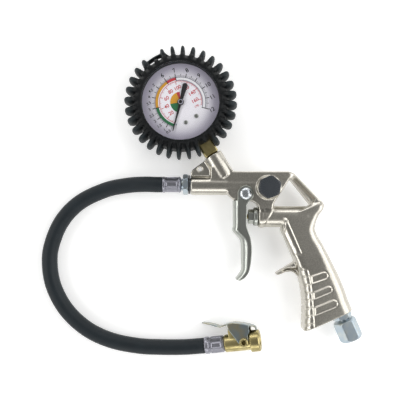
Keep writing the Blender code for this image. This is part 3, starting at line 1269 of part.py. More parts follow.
def gauge_face():
    dial_back = DIAL_FACE - DIAL_THICKNESS
    dial = turned("gauge_dial", [
        (DIAL_RADIUS, DIAL_FACE), (DIAL_RADIUS, dial_back), (ARBOR_RADIUS + 1.2, dial_back),
        (ARBOR_RADIUS + 1.2, DIAL_FACE),
    ], DIAL_PAINT, sides=FINE, closed=True)
    place(dial, GAUGE)
    shank = 0.8
    for side, name in ((1, "dial_screw_a"), (-1, "dial_screw_b")):
        angle = math.radians(side * DIAL_SCREW_SPREAD)
        spot = (DIAL_SCREW_DISTANCE * math.cos(angle), DIAL_SCREW_DISTANCE * math.sin(angle), 0.0)
        hole = place(rod(name + "_hole", shank + GAP, STEM_BLOCK_FRONT - 2.4, DIAL_FACE + 1, None, CUTTERS),
                     GAUGE, spot)
        cut(dial, hole)
        screw = turned(name, [
            (0, DIAL_FACE + 0.75), (1.1, DIAL_FACE + 0.65), (1.5, DIAL_FACE + GAP), (shank, DIAL_FACE + GAP),
            (shank, STEM_BLOCK_FRONT - 2.0), (0, STEM_BLOCK_FRONT - 2.0),
        ], STEEL, sides=SMALL)
        place(screw, GAUGE, spot)

    rest = POINTER_REST_ANGLE - STEM_ANGLE
    flank = [(POINTER_LENGTH, 0.35), (POINTER_LENGTH - 0.6, 0.5), (HUB_RADIUS, 0.95), (-HUB_RADIUS, 1.0),
             (-POINTER_TAIL + 3.0, 1.7)]
    round_end = arc((-POINTER_TAIL + 1.5, 0), 1.5, 90, 270, 6)
    needle = [*flank, *round_end, *((x, -y) for x, y in reversed(flank))]
    pointer = plate("gauge_pointer", needle, POINTER_BACK, POINTER_BACK + POINTER_THICKNESS, NEEDLE_PAINT)
    place(pointer, GAUGE, (0, 0, 0), (0, 0, rest))
    hub = rod("pointer_hub_form", HUB_RADIUS, POINTER_BACK - 0.3, HUB_FRONT, None, CUTTERS, ROUND)
    hub_bore = rod("pointer_hub_bore", ARBOR_RADIUS + GAP, 0, 20, None, CUTTERS)
    join(pointer, place(hub, GAUGE))
    cut(pointer, place(hub_bore, GAUGE))
    stop_angle = rest + math.degrees((0.65 + GAP + STOP_RADIUS) / STOP_DISTANCE)
    stop_spot = arc((0, 0), STOP_DISTANCE, stop_angle, stop_angle, 1)[0]
    stop = turned("pointer_stop", [
        (0, POINTER_BACK + 1.0), (STOP_RADIUS, POINTER_BACK + 1.0), (STOP_RADIUS, DIAL_FACE - 1.4),
        (0, DIAL_FACE - 1.4),
    ], STEEL, sides=SMALL)
    place(stop, GAUGE, (*stop_spot, 0.0))
    stop_hole = rod("stop_hole", STOP_RADIUS + GAP, DIAL_FACE - 3, DIAL_FACE + 1, None, CUTTERS)
    cut(dial, place(stop_hole, GAUGE, (*stop_spot, 0.0)))


def gauge_stem():
    """The stem's block, square and thread; heights are measured along the stem from the gauge's centre."""
    along = in_plane()
    inside = CASE_RADIUS - CASE_WALL - CASE_SHELF
    block_end = inside - 1.6
    stem = box("gauge_stem", (STEM_BLOCK_START, -STEM_BLOCK_HALF, STEM_BLOCK_BACK),
               (block_end - 2.0, STEM_BLOCK_HALF, STEM_BLOCK_FRONT), BRASS)
    place(stem, GAUGE)
    half = STEM_ACROSS / 2
    neck = rod("stem_neck_form", half - 0.2, block_end - 3.0, CASE_RADIUS + 2.0, None, CUTTERS, ROUND)
    low, high = (CASE_RADIUS + 1.0, -half, -half), (SOCKET_FACE - GAP, half, half)
    square = place(box("stem_square_form", low, high, None, CUTTERS), GAUGE)
    chamfer(square, 0.8)
    thread_end = SOCKET_FACE + STEM_THREAD
    thread = rod("stem_thread_form", STEM_THREAD_RADIUS, SOCKET_FACE - 1.5, thread_end, None, CUTTERS, ROUND)
    join(stem, place(neck, GAUGE, (0, 0, 0), along), square, place(thread, GAUGE, (0, 0, 0), along))
    bore = rod("stem_bore", STEM_BORE, TUBE_CENTRE_RADIUS - 2.0, thread_end + 2, None, CUTTERS)
    cut(stem, place(bore, GAUGE, (0, 0, 0), along))
    for side, name in ((1, "dial_screw_a"), (-1, "dial_screw_b")):
        cut(stem, bpy.data.objects[name + "_hole"])
    tube_hole = rod("tube_root_hole", BOURDON_RADIUS + GAP, -5.0, 1.8, None, CUTTERS, ROUND)
    cut(stem, place(tube_hole, GAUGE, (*tube_spot(BOURDON_ROOT), 0), (-90, 0, BOURDON_ROOT)))


def tube_spot(angle, inward=0.0):
    """A point on the Bourdon tube's arc, or inside it."""
    return arc((0, 0), TUBE_CENTRE_RADIUS - inward, angle, angle, 1)[0]


def bourdon():
    """A C-shaped tube from the stem's block round to its free tip."""
    count = 22
    curve = bpy.data.curves.new("bourdon_tube", "CURVE")
    curve.dimensions = "3D"
    curve.bevel_depth = BOURDON_RADIUS * MM
    curve.bevel_resolution = 2
    curve.use_fill_caps = True
    spline = curve.splines.new("POLY")
    spline.points.add(count)
    for i in range(count + 1):
        spline.points[i].co = (*vec(*tube_spot(BOURDON_START - BOURDON_SWEEP * i / count)), 1.0)
    tube = bpy.data.objects.new("bourdon_tube", curve)
    PARTS.objects.link(tube)
    curve.materials.append(material("bourdon_tube", BRASS))
    place(tube, GAUGE)

    end = BOURDON_START - BOURDON_SWEEP
    near, far = end - TIP_GAP, end - TIP_SPAN
    tip_outline = arc((0, 0), TUBE_CENTRE_RADIUS + TIP_OUTWARD, near, far, 4)
    tip_outline += arc((0, 0), TUBE_CENTRE_RADIUS - TIP_INWARD, far, near, 4)
    tip = plate("bourdon_tip", tip_outline, TIP_BACK, SECTOR_HALF, BRASS)
    place(tip, GAUGE)


def movement():
    (left, right), (below, above) = MOVEMENT_X, MOVEMENT_Y
    corners = [(left, below), (right, below), (right, above), (left, above)]
    arbor_hole = ARBOR_RADIUS + GAP
    sector_hole = SECTOR_ARBOR_RADIUS + GAP
    holes = [place(rod("arbor_holes", arbor_hole, -12, 7, None, CUTTERS), GAUGE),
             place(rod("sector_holes", sector_hole, -12, 7, None, CUTTERS), GAUGE, (*SECTOR_PIVOT, 0))]
    front_corners = [(x if x < STEM_BLOCK_START else STEM_BLOCK_START - GAP, y) for x, y in corners]
    for name, outline, low in (("movement_plate_back", corners, BACK_PLATE_Z),
                               ("movement_plate_front", front_corners, FRONT_PLATE_Z)):
        piece = place(plate(name, outline, low, low + PLATE_THICKNESS, BRASS), GAUGE)
        cut(piece, *holes)
    low = BACK_PLATE_Z + PLATE_THICKNESS + GAP
    for name, (x, y) in zip(("movement_pillar_a", "movement_pillar_b"), PILLARS):
        place(rod(name, PILLAR_RADIUS, low, FRONT_PLATE_Z - GAP, BRASS), GAUGE, (x, y, 0))

    arbor = turned("pinion_arbor", [
        (0, HUB_FRONT), (ARBOR_RADIUS, HUB_FRONT), (ARBOR_RADIUS, PINION_HALF), (PINION_RADIUS, PINION_HALF),
        (PINION_RADIUS, -PINION_HALF), (ARBOR_RADIUS, -PINION_HALF), (ARBOR_RADIUS, BACK_PLATE_Z),
        (0, BACK_PLATE_Z),
    ], STEEL, sides=SMALL)
    place(arbor, GAUGE)

    reach = SECTOR_RATIO * PINION_RADIUS
    to_pinion = math.degrees(math.atan2(-SECTOR_PIVOT[1], -SECTOR_PIVOT[0]))
    wedge = arc((0, 0), reach, to_pinion - SECTOR_TURN - 4.0, to_pinion + 4.0, 8)
    tail = arc((0, 0), TAIL_LENGTH + 1.2, TAIL_ANGLE - 9.0, TAIL_ANGLE + 9.0, 2)
    back_turn = [arc((0, 0), SECTOR_HUB_RADIUS, a, a, 1)[0] for a in (TAIL_ANGLE + 40.0,)]
    side_turn = [arc((0, 0), SECTOR_HUB_RADIUS, a, a, 1)[0] for a in (-60.0, 0.0, 60.0)]
    sector = plate("sector_gear", wedge + side_turn + tail + back_turn, -SECTOR_HALF, SECTOR_HALF, BRASS)
    place(sector, GAUGE, (*SECTOR_PIVOT, 0))
    arbor_top = FRONT_PLATE_Z + PLATE_THICKNESS
    arbor_form = rod("sector_arbor_form", SECTOR_ARBOR_RADIUS, BACK_PLATE_Z, arbor_top, None, CUTTERS)
    join(sector, place(arbor_form, GAUGE, (*SECTOR_PIVOT, 0)))

    joint = arc(SECTOR_PIVOT, TAIL_LENGTH, TAIL_ANGLE, TAIL_ANGLE, 1)[0]
    tip_middle = BOURDON_START - BOURDON_SWEEP - (TIP_GAP + TIP_SPAN) / 2
    run = Vector(tube_spot(tip_middle, TIP_INWARD - 1.4)) - Vector(joint)
    bar = [*arc((0, 0), LINK_HALF, 90, 270, 4), *arc((run.length, 0), LINK_HALF, -90, 90, 4)]
    link_low = SECTOR_HALF + GAP
    link = plate("link_rod", bar, link_low, link_low + 0.7, STEEL)
    place(link, GAUGE, (*joint, 0), (0, 0, math.degrees(math.atan2(run.y, run.x))))


gun_body()
trigger()
trigger_screw()
valve()
deflate_valve()
inlet()
hose_fitting()
hose()
chuck()
gauge_case()
gauge_boot()
gauge_face()
gauge_stem()
bourdon()
movement()
bpy.context.view_layer.update()
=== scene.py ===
# %% [markdown]
# # A tyre inflator, dressed for the studio
# The solids of this inflator come from its CAD model: a die-cast air gun, a dial gauge in a rubber boot,
# and a short hose with a clip-on chuck. They are loaded here as a fixed frame, in metres, with +Z up from
# the table. This notebook gives them the surfaces that the real one has, piece by piece.

import math

import bmesh
import bpy
import numpy as np
from mathutils import Matrix, Vector


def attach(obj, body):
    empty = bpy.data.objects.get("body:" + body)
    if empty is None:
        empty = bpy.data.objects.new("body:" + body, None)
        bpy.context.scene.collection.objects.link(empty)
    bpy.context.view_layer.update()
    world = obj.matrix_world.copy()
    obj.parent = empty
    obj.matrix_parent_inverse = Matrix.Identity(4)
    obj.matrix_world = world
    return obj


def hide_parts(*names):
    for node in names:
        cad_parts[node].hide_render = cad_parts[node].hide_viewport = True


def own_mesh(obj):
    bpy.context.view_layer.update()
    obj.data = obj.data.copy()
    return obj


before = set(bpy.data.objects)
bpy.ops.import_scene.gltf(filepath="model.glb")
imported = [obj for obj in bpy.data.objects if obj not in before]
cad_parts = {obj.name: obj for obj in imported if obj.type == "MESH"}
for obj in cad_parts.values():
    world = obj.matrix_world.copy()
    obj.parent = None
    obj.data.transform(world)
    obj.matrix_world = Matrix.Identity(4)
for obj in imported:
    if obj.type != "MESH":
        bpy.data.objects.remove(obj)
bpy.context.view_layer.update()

# %% [markdown]
# ## One place for each assembly
# The gun's middle plane lies 12.8 mm above the table. Each assembly is easiest to describe along its own
# axis, so it gets a matrix of its own: the gauge along its stem, the inlet and the barrel along their
# bores, the chuck along its nose. A size is written in millimetres and turned to metres in one place.

# %% The assemblies' places
MM = 0.001


def shift(x, y, z=0.0):
    return Matrix.Translation(Vector((x, y, z)) * MM)


def spin(degrees, axis="Z"):
    return Matrix.Rotation(math.radians(degrees), 4, axis)


GUN_LEVEL = 12.8
GAUGE_TURN = 58.5
GUN = shift(0.1, 0.2, GUN_LEVEL)
DIAL = GUN @ shift(-48.98, 71.06)
GAUGE = DIAL @ spin(-GAUGE_TURN)
BARREL = GUN @ shift(-41.7, 8.4) @ spin(180.0) @ spin(90.0, "Y")
VALVE = GUN @ shift(10.7, -16.5) @ spin(90.0, "Y")
PIVOT = GUN @ shift(0.9, 1.1)
KNOB = GUN @ shift(18.1, 5.7)
INLET = GUN @ shift(75.2, -91.3) @ spin(-66.0) @ spin(90.0, "Y")
CHUCK = GUN @ shift(-30.36, -118.35, -5.8) @ spin(8.0) @ spin(-10.0, "Y") @ spin(-7.5, "X")
print("gauge centre, mm:", [round(c / MM, 1) for c in GAUGE.translation])

# %% [markdown]
# ## The camera first
# The photograph is taken from straight above the tool as it lies on its side, from about 0.4 m. A lens
# that near spreads the gauge's fins outwards, which is why its distance matters more than its focal
# length. The principal point lies a little above the picture's middle, which a small shift gives.

# %% Camera
CAMERA_HEIGHT = 433.8
SENSOR, FOCAL_LENGTH = 36.0, 48.6
PICTURE = 400
camera_data = bpy.data.cameras.new("overhead")
camera_data.sensor_width = SENSOR
camera_data.lens = FOCAL_LENGTH
camera_data.shift_y = 0.0375
camera_data.clip_start = 0.02
camera_data.clip_end = 20.0
camera = bpy.data.objects.new("overhead", camera_data)
bpy.context.scene.collection.objects.link(camera)
camera.matrix_world = shift(-34.06, -15.09, CAMERA_HEIGHT)
bpy.context.scene.camera = camera
pixel = (CAMERA_HEIGHT - GUN_LEVEL) / (PICTURE * FOCAL_LENGTH / SENSOR)
print("one pixel on the gun's middle plane:", round(pixel, 3), "mm")

# %% [markdown]
# ## Colour and nodes
# A designer's colour is an sRGB hex value, and Cycles counts in linear light, so one function turns the
# one into the other. A second small function adds any shader node with its settings and its links, so
# that a material reads as a short list of what it is made of.

# %% Colour and node helpers
def hex_colour(code):
    channels = [int(code[i:i + 2], 16) / 255 for i in (0, 2, 4)]
    linear = [c / 12.92 if c <= 0.04045 else ((c + 0.055) / 1.055) ** 2.4 for c in channels]
    return (*linear, 1.0)


def node(tree, kind, inputs=None, **settings):
    """Adds a shader node of a kind. An input is a value, a hex colour, or (node, output) for a link."""
    made = tree.nodes.new("ShaderNode" + kind)
    for name, value in settings.items():
        setattr(made, name, value)
    for name, value in (inputs or {}).items():
        if isinstance(value, tuple) and isinstance(value[0], bpy.types.Node):
            tree.links.new(value[0].outputs[value[1]], made.inputs[name])
        else:
            made.inputs[name].default_value = hex_colour(value) if isinstance(value, str) else value
    return made


def new_material(name):
    """A material with only its output node, and that output."""
    made = bpy.data.materials.new(name)
    made.use_nodes = True
    tree = made.node_tree
    tree.nodes.clear()
    return made, tree, node(tree, "OutputMaterial")


def grain(millimetres):
    """A noise scale whose blotches are about that wide, for coordinates in metres."""
    return 1.0 / (millimetres * MM)


print("18% grey as hex 777777 is", round(hex_colour("777777")[0], 3), "in linear light")

# %% [markdown]
# ## One recipe for the plain finishes
# Most finishes differ in a few numbers only: two near colours, the grain that gives roughness and relief,
# and whether it is a metal. One function builds such a material from those numbers. Where the tint
# changes in blotches larger than the grain, a second, broad noise moves it.

# %% A finish from a few numbers
METAL = {"Metallic": 1.0}


def finish(name, colours, fine, rough, relief=None, broad=None, dull_where_tinted=False, along=None,
           kind=METAL):
    """A finish of two colours. fine is (grain in mm, detail), rough one value or (low, high), relief
    (strength, depth in mm), broad (blotch in mm, detail, low, high), and along stretches the grain."""
    made, tree, out = new_material(name)
    place = (node(tree, "TexCoord"), "Object")
    if along:
        place = (node(tree, "Mapping", {"Vector": place, "Scale": along}), "Vector")
    size, detail = fine
    noise = node(tree, "TexNoise", {"Vector": place, "Scale": grain(size), "Detail": detail})
    skin = change = (noise, "Fac")
    if broad:
        size, detail, low, high = broad
        large = node(tree, "TexNoise", {"Vector": place, "Scale": grain(size), "Detail": detail})
        spread = node(tree, "MapRange", {"Value": (large, "Fac"), "From Min": low, "From Max": high})
        change = (spread, "Result")
    tint = node(tree, "Mix", {0: change, 6: colours[0], 7: colours[1]}, data_type="RGBA")
    inputs = {"Base Color": (tint, 2), "Roughness": rough, **kind}
    if isinstance(rough, tuple):
        dull = node(tree, "MapRange", {
            "Value": change if dull_where_tinted else skin, "To Min": rough[0], "To Max": rough[1]})
        inputs["Roughness"] = (dull, "Result")
    if relief:
        strength, depth = relief
        bump = node(tree, "Bump", {"Height": skin, "Strength": strength, "Distance": depth * MM})
        inputs["Normal"] = (bump, "Normal")
    shader = node(tree, "BsdfPrincipled", inputs)
    tree.links.new(shader.outputs[0], out.inputs["Surface"])
    print(f"{name}: grain {fine[0]} mm")
    return made


print("recipe ready")

# %% [markdown]
# ## Satin nickel on a die casting
# The gun is a zinc die casting, tumbled and nickel plated. Nickel is a warm grey metal, and the tumbled
# skin under it scatters light a little, so broad faces show soft, blurred reflections while each rounded
# edge draws a bright line. The skin's pits are about 0.2 mm, too fine to show here, so they are drawn at
# 0.9 mm and kept shallow, and each is a little darker towards its bottom. Slow blotches of tint and polish
# stop it from looking like plastic.

# %% Satin nickel
satin_nickel, tree, out = new_material("satin_nickel_plated_casting")
place = node(tree, "TexCoord")
blotches = node(tree, "TexNoise", {"Vector": (place, "Object"), "Scale": grain(14), "Detail": 3.0})
pits = node(tree, "TexNoise", {"Vector": (place, "Object"), "Scale": grain(0.9), "Detail": 2.0})
clean = node(tree, "Mix", {0: (blotches, "Fac"), 6: "D6D2C8", 7: "C7C3B8"}, data_type="RGBA")
# each pit is a little darker towards its bottom, following the same noise as its relief
hollow = node(tree, "MapRange", {"Value": (pits, "Fac"), "From Min": 0.42, "From Max": 0.62})
tint = node(tree, "Mix", {0: (hollow, "Result"), 6: "BDB9AF", 7: (clean, 2)}, data_type="RGBA")
polish = node(tree, "MapRange", {"Value": (blotches, "Fac"), "To Min": 0.25, "To Max": 0.33})
relief = node(tree, "Bump", {"Height": (pits, "Fac"), "Strength": 0.40, "Distance": 0.055 * MM})
metal = node(tree, "BsdfPrincipled", {
    "Base Color": (tint, 2), "Metallic": 1.0, "Roughness": (polish, "Result"), "Normal": (relief, "Normal")})
tree.links.new(metal.outputs[0], out.inputs["Surface"])
print(satin_nickel.name, "pits drawn at 0.9 mm")

# %% [markdown]
# ## Nickel on pressed steel
# The trigger is a folded steel channel. Rolled sheet is smoother than a casting, so its plate is brighter
# and reads a little cooler and greener. Fingers rub it along its length, which leaves very faint streaks.

# %% Nickel-plated sheet
sheet_nickel = finish("nickel_plated_sheet_steel", ("B8BBB4", "A7AAA4"), fine=(1.2, 4.0),
                      rough=(0.24, 0.36), relief=(0.15, 0.02), along=(1.0, 0.12, 1.0))

# %% [markdown]
# ## Blue zinc plate
# Nuts, ferrules and the nipple are steel, electroplated with zinc and passivated. The passivate is a
# film so thin that it tints the metal: pale blue, with hints of straw where it is thicker. The plate is
# fairly bright but never a mirror.

# %% Blue zinc
blue_zinc = finish("blue_passivated_zinc_steel", ("AEBBC4", "BCC3C3"), fine=(0.8, 3.0),
                   rough=(0.30, 0.46), relief=(0.18, 0.02), broad=(5, 2.0, 0.42, 0.68))

# %% [markdown]
# ## Ferrules, crimped dull
# The two ferrules are thin zinc-plated tube, squeezed between dies. The dies leave a fine scuffed skin,
# greyer than the nuts and with a deeper grain.

# %% Crimped ferrule
crimped_zinc = finish("crimped_zinc_tube", ("8F8F98", "A8A8B0"), fine=(0.9, 4.0),
                      rough=(0.30, 0.46), relief=(0.25, 0.04))

# %% [markdown]
# ## Yellow zinc on spring steel
# The chuck's clip is stamped from strip and yellow passivated: olive and straw on the edges, blue-grey on
# the broad cheeks, where the film is thinnest. Two noises of different size give that wandering tint.

# %% Clip plating
clip_zinc = finish("yellow_passivated_clip_steel", ("93A0A4", "AEA27E"), fine=(0.6, 3.0),
                   rough=(0.28, 0.42), relief=(0.15, 0.02), broad=(7, 3.0, 0.40, 0.78))

# %% [markdown]
# ## Chrome
# The pivot screw's dome and the gauge's bezel ring are tumbled and chromed: brighter than anything else on
# the tool, though tumbling leaves them short of a mirror, with wiping marks in the roughness.

# %% Chrome
chrome = finish("tumbled_chrome_plate", ("D3D8DC", "D3D8DC"), fine=(2, 3.0), rough=(0.20, 0.32))

# %% [markdown]
# ## Turned brass
# The chuck, the gauge's stem and the small valve pieces are turned from brass bar. Fresh brass is a pale
# yellow, and handling darkens it to olive in blotches, which are duller too. The turning tool's marks,
# about 0.15 mm apart, are too fine to show, and a plain grain of 0.5 mm stands for them.

# %% Turned brass
turned_brass = finish("turned_brass_bar", ("C0B280", "938758"), fine=(0.5, 3.0), rough=(0.27, 0.42),
                      relief=(0.18, 0.02), broad=(6, 4.0, 0.35, 0.70), dull_where_tinted=True)

# %% [markdown]
# ## Moulded rubber
# The gauge's boot is nitrile rubber, moulded in a blasted tool. Its lip is painted nearly black, as painted
# shade, and the fins a dark grey-green, with dust on them as a paler bloom: the tint changes with the
# distance from the gauge's middle. The blasted grain is drawn at 0.6 mm.

# %% Boot rubber
boot_rubber, tree, out = new_material("moulded_nitrile_rubber")
place = node(tree, "TexCoord")
bloom = node(tree, "TexNoise", {"Vector": (place, "Object"), "Scale": grain(9), "Detail": 4.0})
skin = node(tree, "TexNoise", {"Vector": (place, "Object"), "Scale": grain(0.6), "Detail": 2.0})
about = node(tree, "VectorMath", {0: (place, "Object"), 1: GAUGE.translation}, operation="SUBTRACT")
plan = node(tree, "VectorMath", {0: (about, 0), 1: (1.0, 1.0, 0.0)}, operation="MULTIPLY")
reach = node(tree, "VectorMath", {0: (plan, 0)}, operation="LENGTH")
# painted shade: the lip inside 35.5 mm is painted near black, and the fins beyond 40 mm keep their own dark
# grey
lip_shade_mask = node(tree, "MapRange", {"Value": (reach, "Value"), "From Min": 35.5 * MM, "From Max": 40 * MM})
fins = node(tree, "Mix", {0: (bloom, "Fac"), 6: "23292B", 7: "30373A"}, data_type="RGBA")
tint = node(tree, "Mix", {0: (lip_shade_mask, "Result"), 6: "080B0D", 7: (fins, 2)}, data_type="RGBA")
dull = node(tree, "MapRange", {"Value": (skin, "Fac"), "To Min": 0.46, "To Max": 0.64})
relief = node(tree, "Bump", {"Height": (skin, "Fac"), "Strength": 0.35, "Distance": 0.05 * MM})
rubber = node(tree, "BsdfPrincipled", {
    "Base Color": (tint, 2), "Roughness": (dull, "Result"), "IOR": 1.52, "Specular IOR Level": 0.2,
    "Normal": (relief, "Normal")})
tree.links.new(rubber.outputs[0], out.inputs["Surface"])
print(boot_rubber.name, "grain drawn at 0.6 mm")

# %% [markdown]
# ## Plain seals
# Washers, the O-ring and the valve's rubber are small black mouldings, smoother than the boot.

# %% Seal rubber
seal_rubber = finish("black_seal_rubber", ("16191B", "24282A"), fine=(0.4, 2.0), rough=0.5,
                     kind={"IOR": 1.52})

# %% [markdown]
# ## Knob plastic
# The deflate knob is glass-filled nylon, black with a cold cast, with the slightly sandy skin that the
# fibres give it.

# %% Knob plastic
knob_nylon = finish("glass_filled_nylon", ("202429", "30353B"), fine=(0.5, 3.0), rough=(0.36, 0.52),
                    relief=(0.3, 0.04), kind={"IOR": 1.53})

# %% [markdown]
# ## How the shapes are made
# Three ways of making metal cover nearly every piece here. **Turned** pieces are a profile swept round an
# axis; a nut or a crimp is the same, with the radius held back to a set of flats. **Cast and pressed**
# pieces start as the CAD solid, which is exact but has knife edges: a fine remesh and a little relaxing
# round every edge and inside corner, as a mould or a press does. **Drawn** pieces follow a path.

# %% Making and dressing a piece
SHARP_ANGLE = 35.0


def make_mesh(name, points, faces, place):
    """An object from points in millimetres in the assembly that `place` describes."""
    mesh = bpy.data.meshes.new(name)
    mesh.from_pydata([Vector(p) * MM for p in points], [], faces)
    mesh.validate()
    bm = bmesh.new()
    bm.from_mesh(mesh)
    bmesh.ops.recalc_face_normals(bm, faces=bm.faces)
    bm.to_mesh(mesh)
    bm.free()
    mesh.shade_smooth()
    mesh.set_sharp_from_angle(angle=math.radians(SHARP_ANGLE))
    made = bpy.data.objects.new(name, mesh)
    bpy.context.scene.collection.objects.link(made)
    made.matrix_world = place
    return made


def dress(piece, paint, body, slot, *nodes):
    """Gives a piece its finish and its CAD body, and hides the CAD nodes that it stands for."""
    piece.data.materials.clear()
    piece.data.materials.append(paint)
    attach(piece, body)
    if nodes:
        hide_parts(*nodes)


print("helpers ready")

# %% [markdown]
# ## Turned and many-sided pieces
# A turned profile with sharp corners looks like a drawing, because real edges are broken with a file. So
# each corner of the profile is first cut to a short arc. For a nut, the radius at each angle is held back
# to the distance of a flat, whose own corners are slightly round; where the profile's chamfer meets the
# flats, the curved facet lines of a real nut appear by themselves.

# %% Broken corners
def broken(profile, radius=0.25, closed=False):
    """The profile with each corner replaced by a small arc of four points."""
    corners = [Vector(p[:2]) for p in profile]
    made = []
    for i, here in enumerate(corners):
        if not closed and i in (0, len(corners) - 1):
            made.append(tuple(here))
            continue
        to_before = corners[i - 1] - here
        to_after = corners[(i + 1) % len(corners)] - here
        room = min(radius, to_before.length * 0.45, to_after.length * 0.45)
        first = here + to_before.normalized() * room
        last = here + to_after.normalized() * room
        for share in (0.0, 0.33, 0.67, 1.0):
            made.append(tuple(first * (1 - share) ** 2 + here * 2 * share * (1 - share) + last * share ** 2))
    return made


print("a broken square has", len(broken([(0, 0), (1, 0), (1, 1), (0, 1)], closed=True)), "points")

# %% [markdown]
# The flats of a nut and the pads of a crimp are a limit on the radius, which changes with the angle.

# %% Turning and flats
AXIS = 0.01         # mm; a turned profile ends this near to the axis, and a small flat closes it


def flat_reach(angle, count, across, rounding):
    """How far a many-sided bar reaches at an angle from the middle of a flat."""
    half_turn = math.pi / count
    off = abs((angle + half_turn) % (2 * half_turn) - half_turn)
    inner = across / 2 - rounding
    if (across / 2) * math.tan(off) <= inner * math.tan(half_turn):
        return across / 2 / math.cos(off)
    corner = inner / math.cos(half_turn)
    aside = half_turn - off
    return corner * math.cos(aside) + math.sqrt(max(rounding ** 2 - (corner * math.sin(aside)) ** 2, 0.0))


def between_rings(rows, count, closed=False):
    """The four-sided faces between neighbouring rings of points."""
    faces = []
    for i in range(rows if closed else rows - 1):
        row, after = i * count, (i + 1) % rows * count
        faces += [(row + k, row + (k + 1) % count, after + (k + 1) % count, after + k) for k in range(count)]
    return faces


def end_caps(rows, count):
    return [tuple(range(count)), tuple((rows - 1) * count + k for k in range(count))]


def turned_form(profile, flats=None, steps=96, closed=False, turned_by=0.0):
    """Sweeps (radius, height) points about Z. flats = (count, across, rounding, low, high)."""
    points = []
    for radius, height in profile:
        for k in range(steps):
            angle = 2 * math.pi * k / steps
            reach = radius
            if flats and flats[3] <= height <= flats[4]:
                reach = min(radius, flat_reach(angle, *flats[:3]))
            points.append((reach * math.cos(angle + turned_by), reach * math.sin(angle + turned_by), height))
    faces = between_rings(len(profile), steps, closed)
    return points, faces if closed else faces + end_caps(len(profile), steps)


def turn_piece(name, profile, place, **settings):
    """A turned piece. Its profile starts and ends on the axis, or is closed."""
    made = make_mesh(name, *turned_form(profile, **settings), place)
    print(f"{name}: {len(made.data.polygons)} faces")
    return made


def turn_ring(name, profile, corner, place, **settings):
    """A turned piece whose profile closes on itself, with its corners broken."""
    return turn_piece(name, broken(profile, corner, closed=True), place, closed=True, **settings)


print("a 14 mm hexagon reaches", round(flat_reach(math.pi / 6, 6, 14.0, 0.5), 2), "mm at its corner")

# %% [markdown]
# ## Cast and pressed pieces
# The remesh fills the solid with small cubes and skins them again, so all its edges become alike; the
# relaxing then pulls each point towards its neighbours' middle, which rounds edges to about the cube's
# size times the number of passes. Flat faces stay flat, since all their neighbours lie in the same plane.

# %% Relaxing a mesh
def relax(points, edges, passes, hold=0.5):
    """Moves each point towards the mean of its neighbours; hold may differ from point to point."""
    count = np.zeros(len(points))
    np.add.at(count, edges[:, 0], 1)
    np.add.at(count, edges[:, 1], 1)
    for _ in range(passes):
        total = np.zeros_like(points)
        np.add.at(total, edges[:, 0], points[edges[:, 1]])
        np.add.at(total, edges[:, 1], points[edges[:, 0]])
        points = points + (total / count[:, None] - points) * hold
    return points


def mesh_points(mesh):
    flat = np.zeros(len(mesh.vertices) * 3)
    mesh.vertices.foreach_get("co", flat)
    return flat.reshape(-1, 3)


def move_points(piece, points):
    piece.data.vertices.foreach_set("co", points.ravel())
    piece.data.update()


def mesh_edges(mesh):
    flat = np.zeros(len(mesh.edges) * 2, dtype=int)
    mesh.edges.foreach_get("vertices", flat)
    return flat.reshape(-1, 2)


print("mesh helpers ready")

# %% [markdown]
# The rounded copy itself is the remesh and then the relaxing.

# %% Rounded copies
def settle(piece, name):
    """Turns a piece's modifiers into its own mesh."""
    bpy.context.view_layer.update()
    seen = piece.evaluated_get(bpy.context.evaluated_depsgraph_get())
    mesh = bpy.data.meshes.new_from_object(seen)
    mesh.name = name
    old = piece.data
    piece.modifiers.clear()
    piece.data = mesh
    bpy.data.meshes.remove(old)


def cast_copy(name, node_name, cube, passes):
    """A rounded copy of a CAD solid, or of a mesh that is already made."""
    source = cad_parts.get(node_name) or bpy.data.objects[node_name]
    made = bpy.data.objects.new(name, source.data.copy())
    bpy.context.scene.collection.objects.link(made)
    made.matrix_world = source.matrix_world
    skin = made.modifiers.new("skin", "REMESH")
    skin.mode = "VOXEL"
    skin.voxel_size = cube * MM
    settle(made, name)
    move_points(made, relax(mesh_points(made.data), mesh_edges(made.data), passes))
    made.data.shade_smooth()
    print(f"{name}: {len(made.data.polygons)} faces after a {cube} mm remesh")
    return made


print("rounded copies ready")

# %% [markdown]
# Holes, slots and joined blocks are real boolean steps between closed forms. A slot's sharp floor is what
# makes it read, so the crisp cut marks the piece's sharp edges again.

# %% Cutting and joining
def combine(piece, *others, operation="DIFFERENCE"):
    """Cuts closed forms out of a piece, or joins them to it, and removes them."""
    for other in others:
        step = piece.modifiers.new(other.name, "BOOLEAN")
        step.object = other
        step.operation = operation
        step.solver = "EXACT"
    settle(piece, piece.name)
    for other in others:
        bpy.data.objects.remove(other, do_unlink=True)


def crisp_cut(piece, *others):
    """Cuts, and keeps the cut's edges sharp."""
    combine(piece, *others)
    piece.data.shade_smooth()
    piece.data.set_sharp_from_angle(angle=math.radians(SHARP_ANGLE))


print("cutting helpers ready")

# %% [markdown]
# The remesh makes far more triangles than a flat face needs. They are merged where that changes the shape
# least, after all carving is done, and each point's normal is then weighed by the areas round it, so that
# the large triangles that are left on a flat still shine as a flat.

# %% Fewer triangles
def lighten(piece, share):
    """Merges triangles down to a share of their number."""
    merge = piece.modifiers.new("merge", "DECIMATE")
    merge.ratio = share
    steady = piece.modifiers.new("normals", "WEIGHTED_NORMAL")
    steady.keep_sharp = False
    settle(piece, piece.name)
    print(f"{piece.name}: {len(piece.data.polygons)} triangles kept")


def freeze(piece):
    """Moves a turned piece's place into its mesh, so that its box is as large as the piece and no larger."""
    piece.data.transform(piece.matrix_world)
    piece.matrix_world = Matrix.Identity(4)


print("finishing helpers ready")

# %% [markdown]
# ## The casting
# One die casting makes the barrel, the gauge's socket, the bridge, the valve tube and the grip. Its
# edges have the radius of the die, about a millimetre. The solid is copied, rounded, and then carved: a
# die cutter would engrave the finger grooves and the grip's pockets, and here each is a small move of the
# surface along its normal, written as a function of the place on the gun.

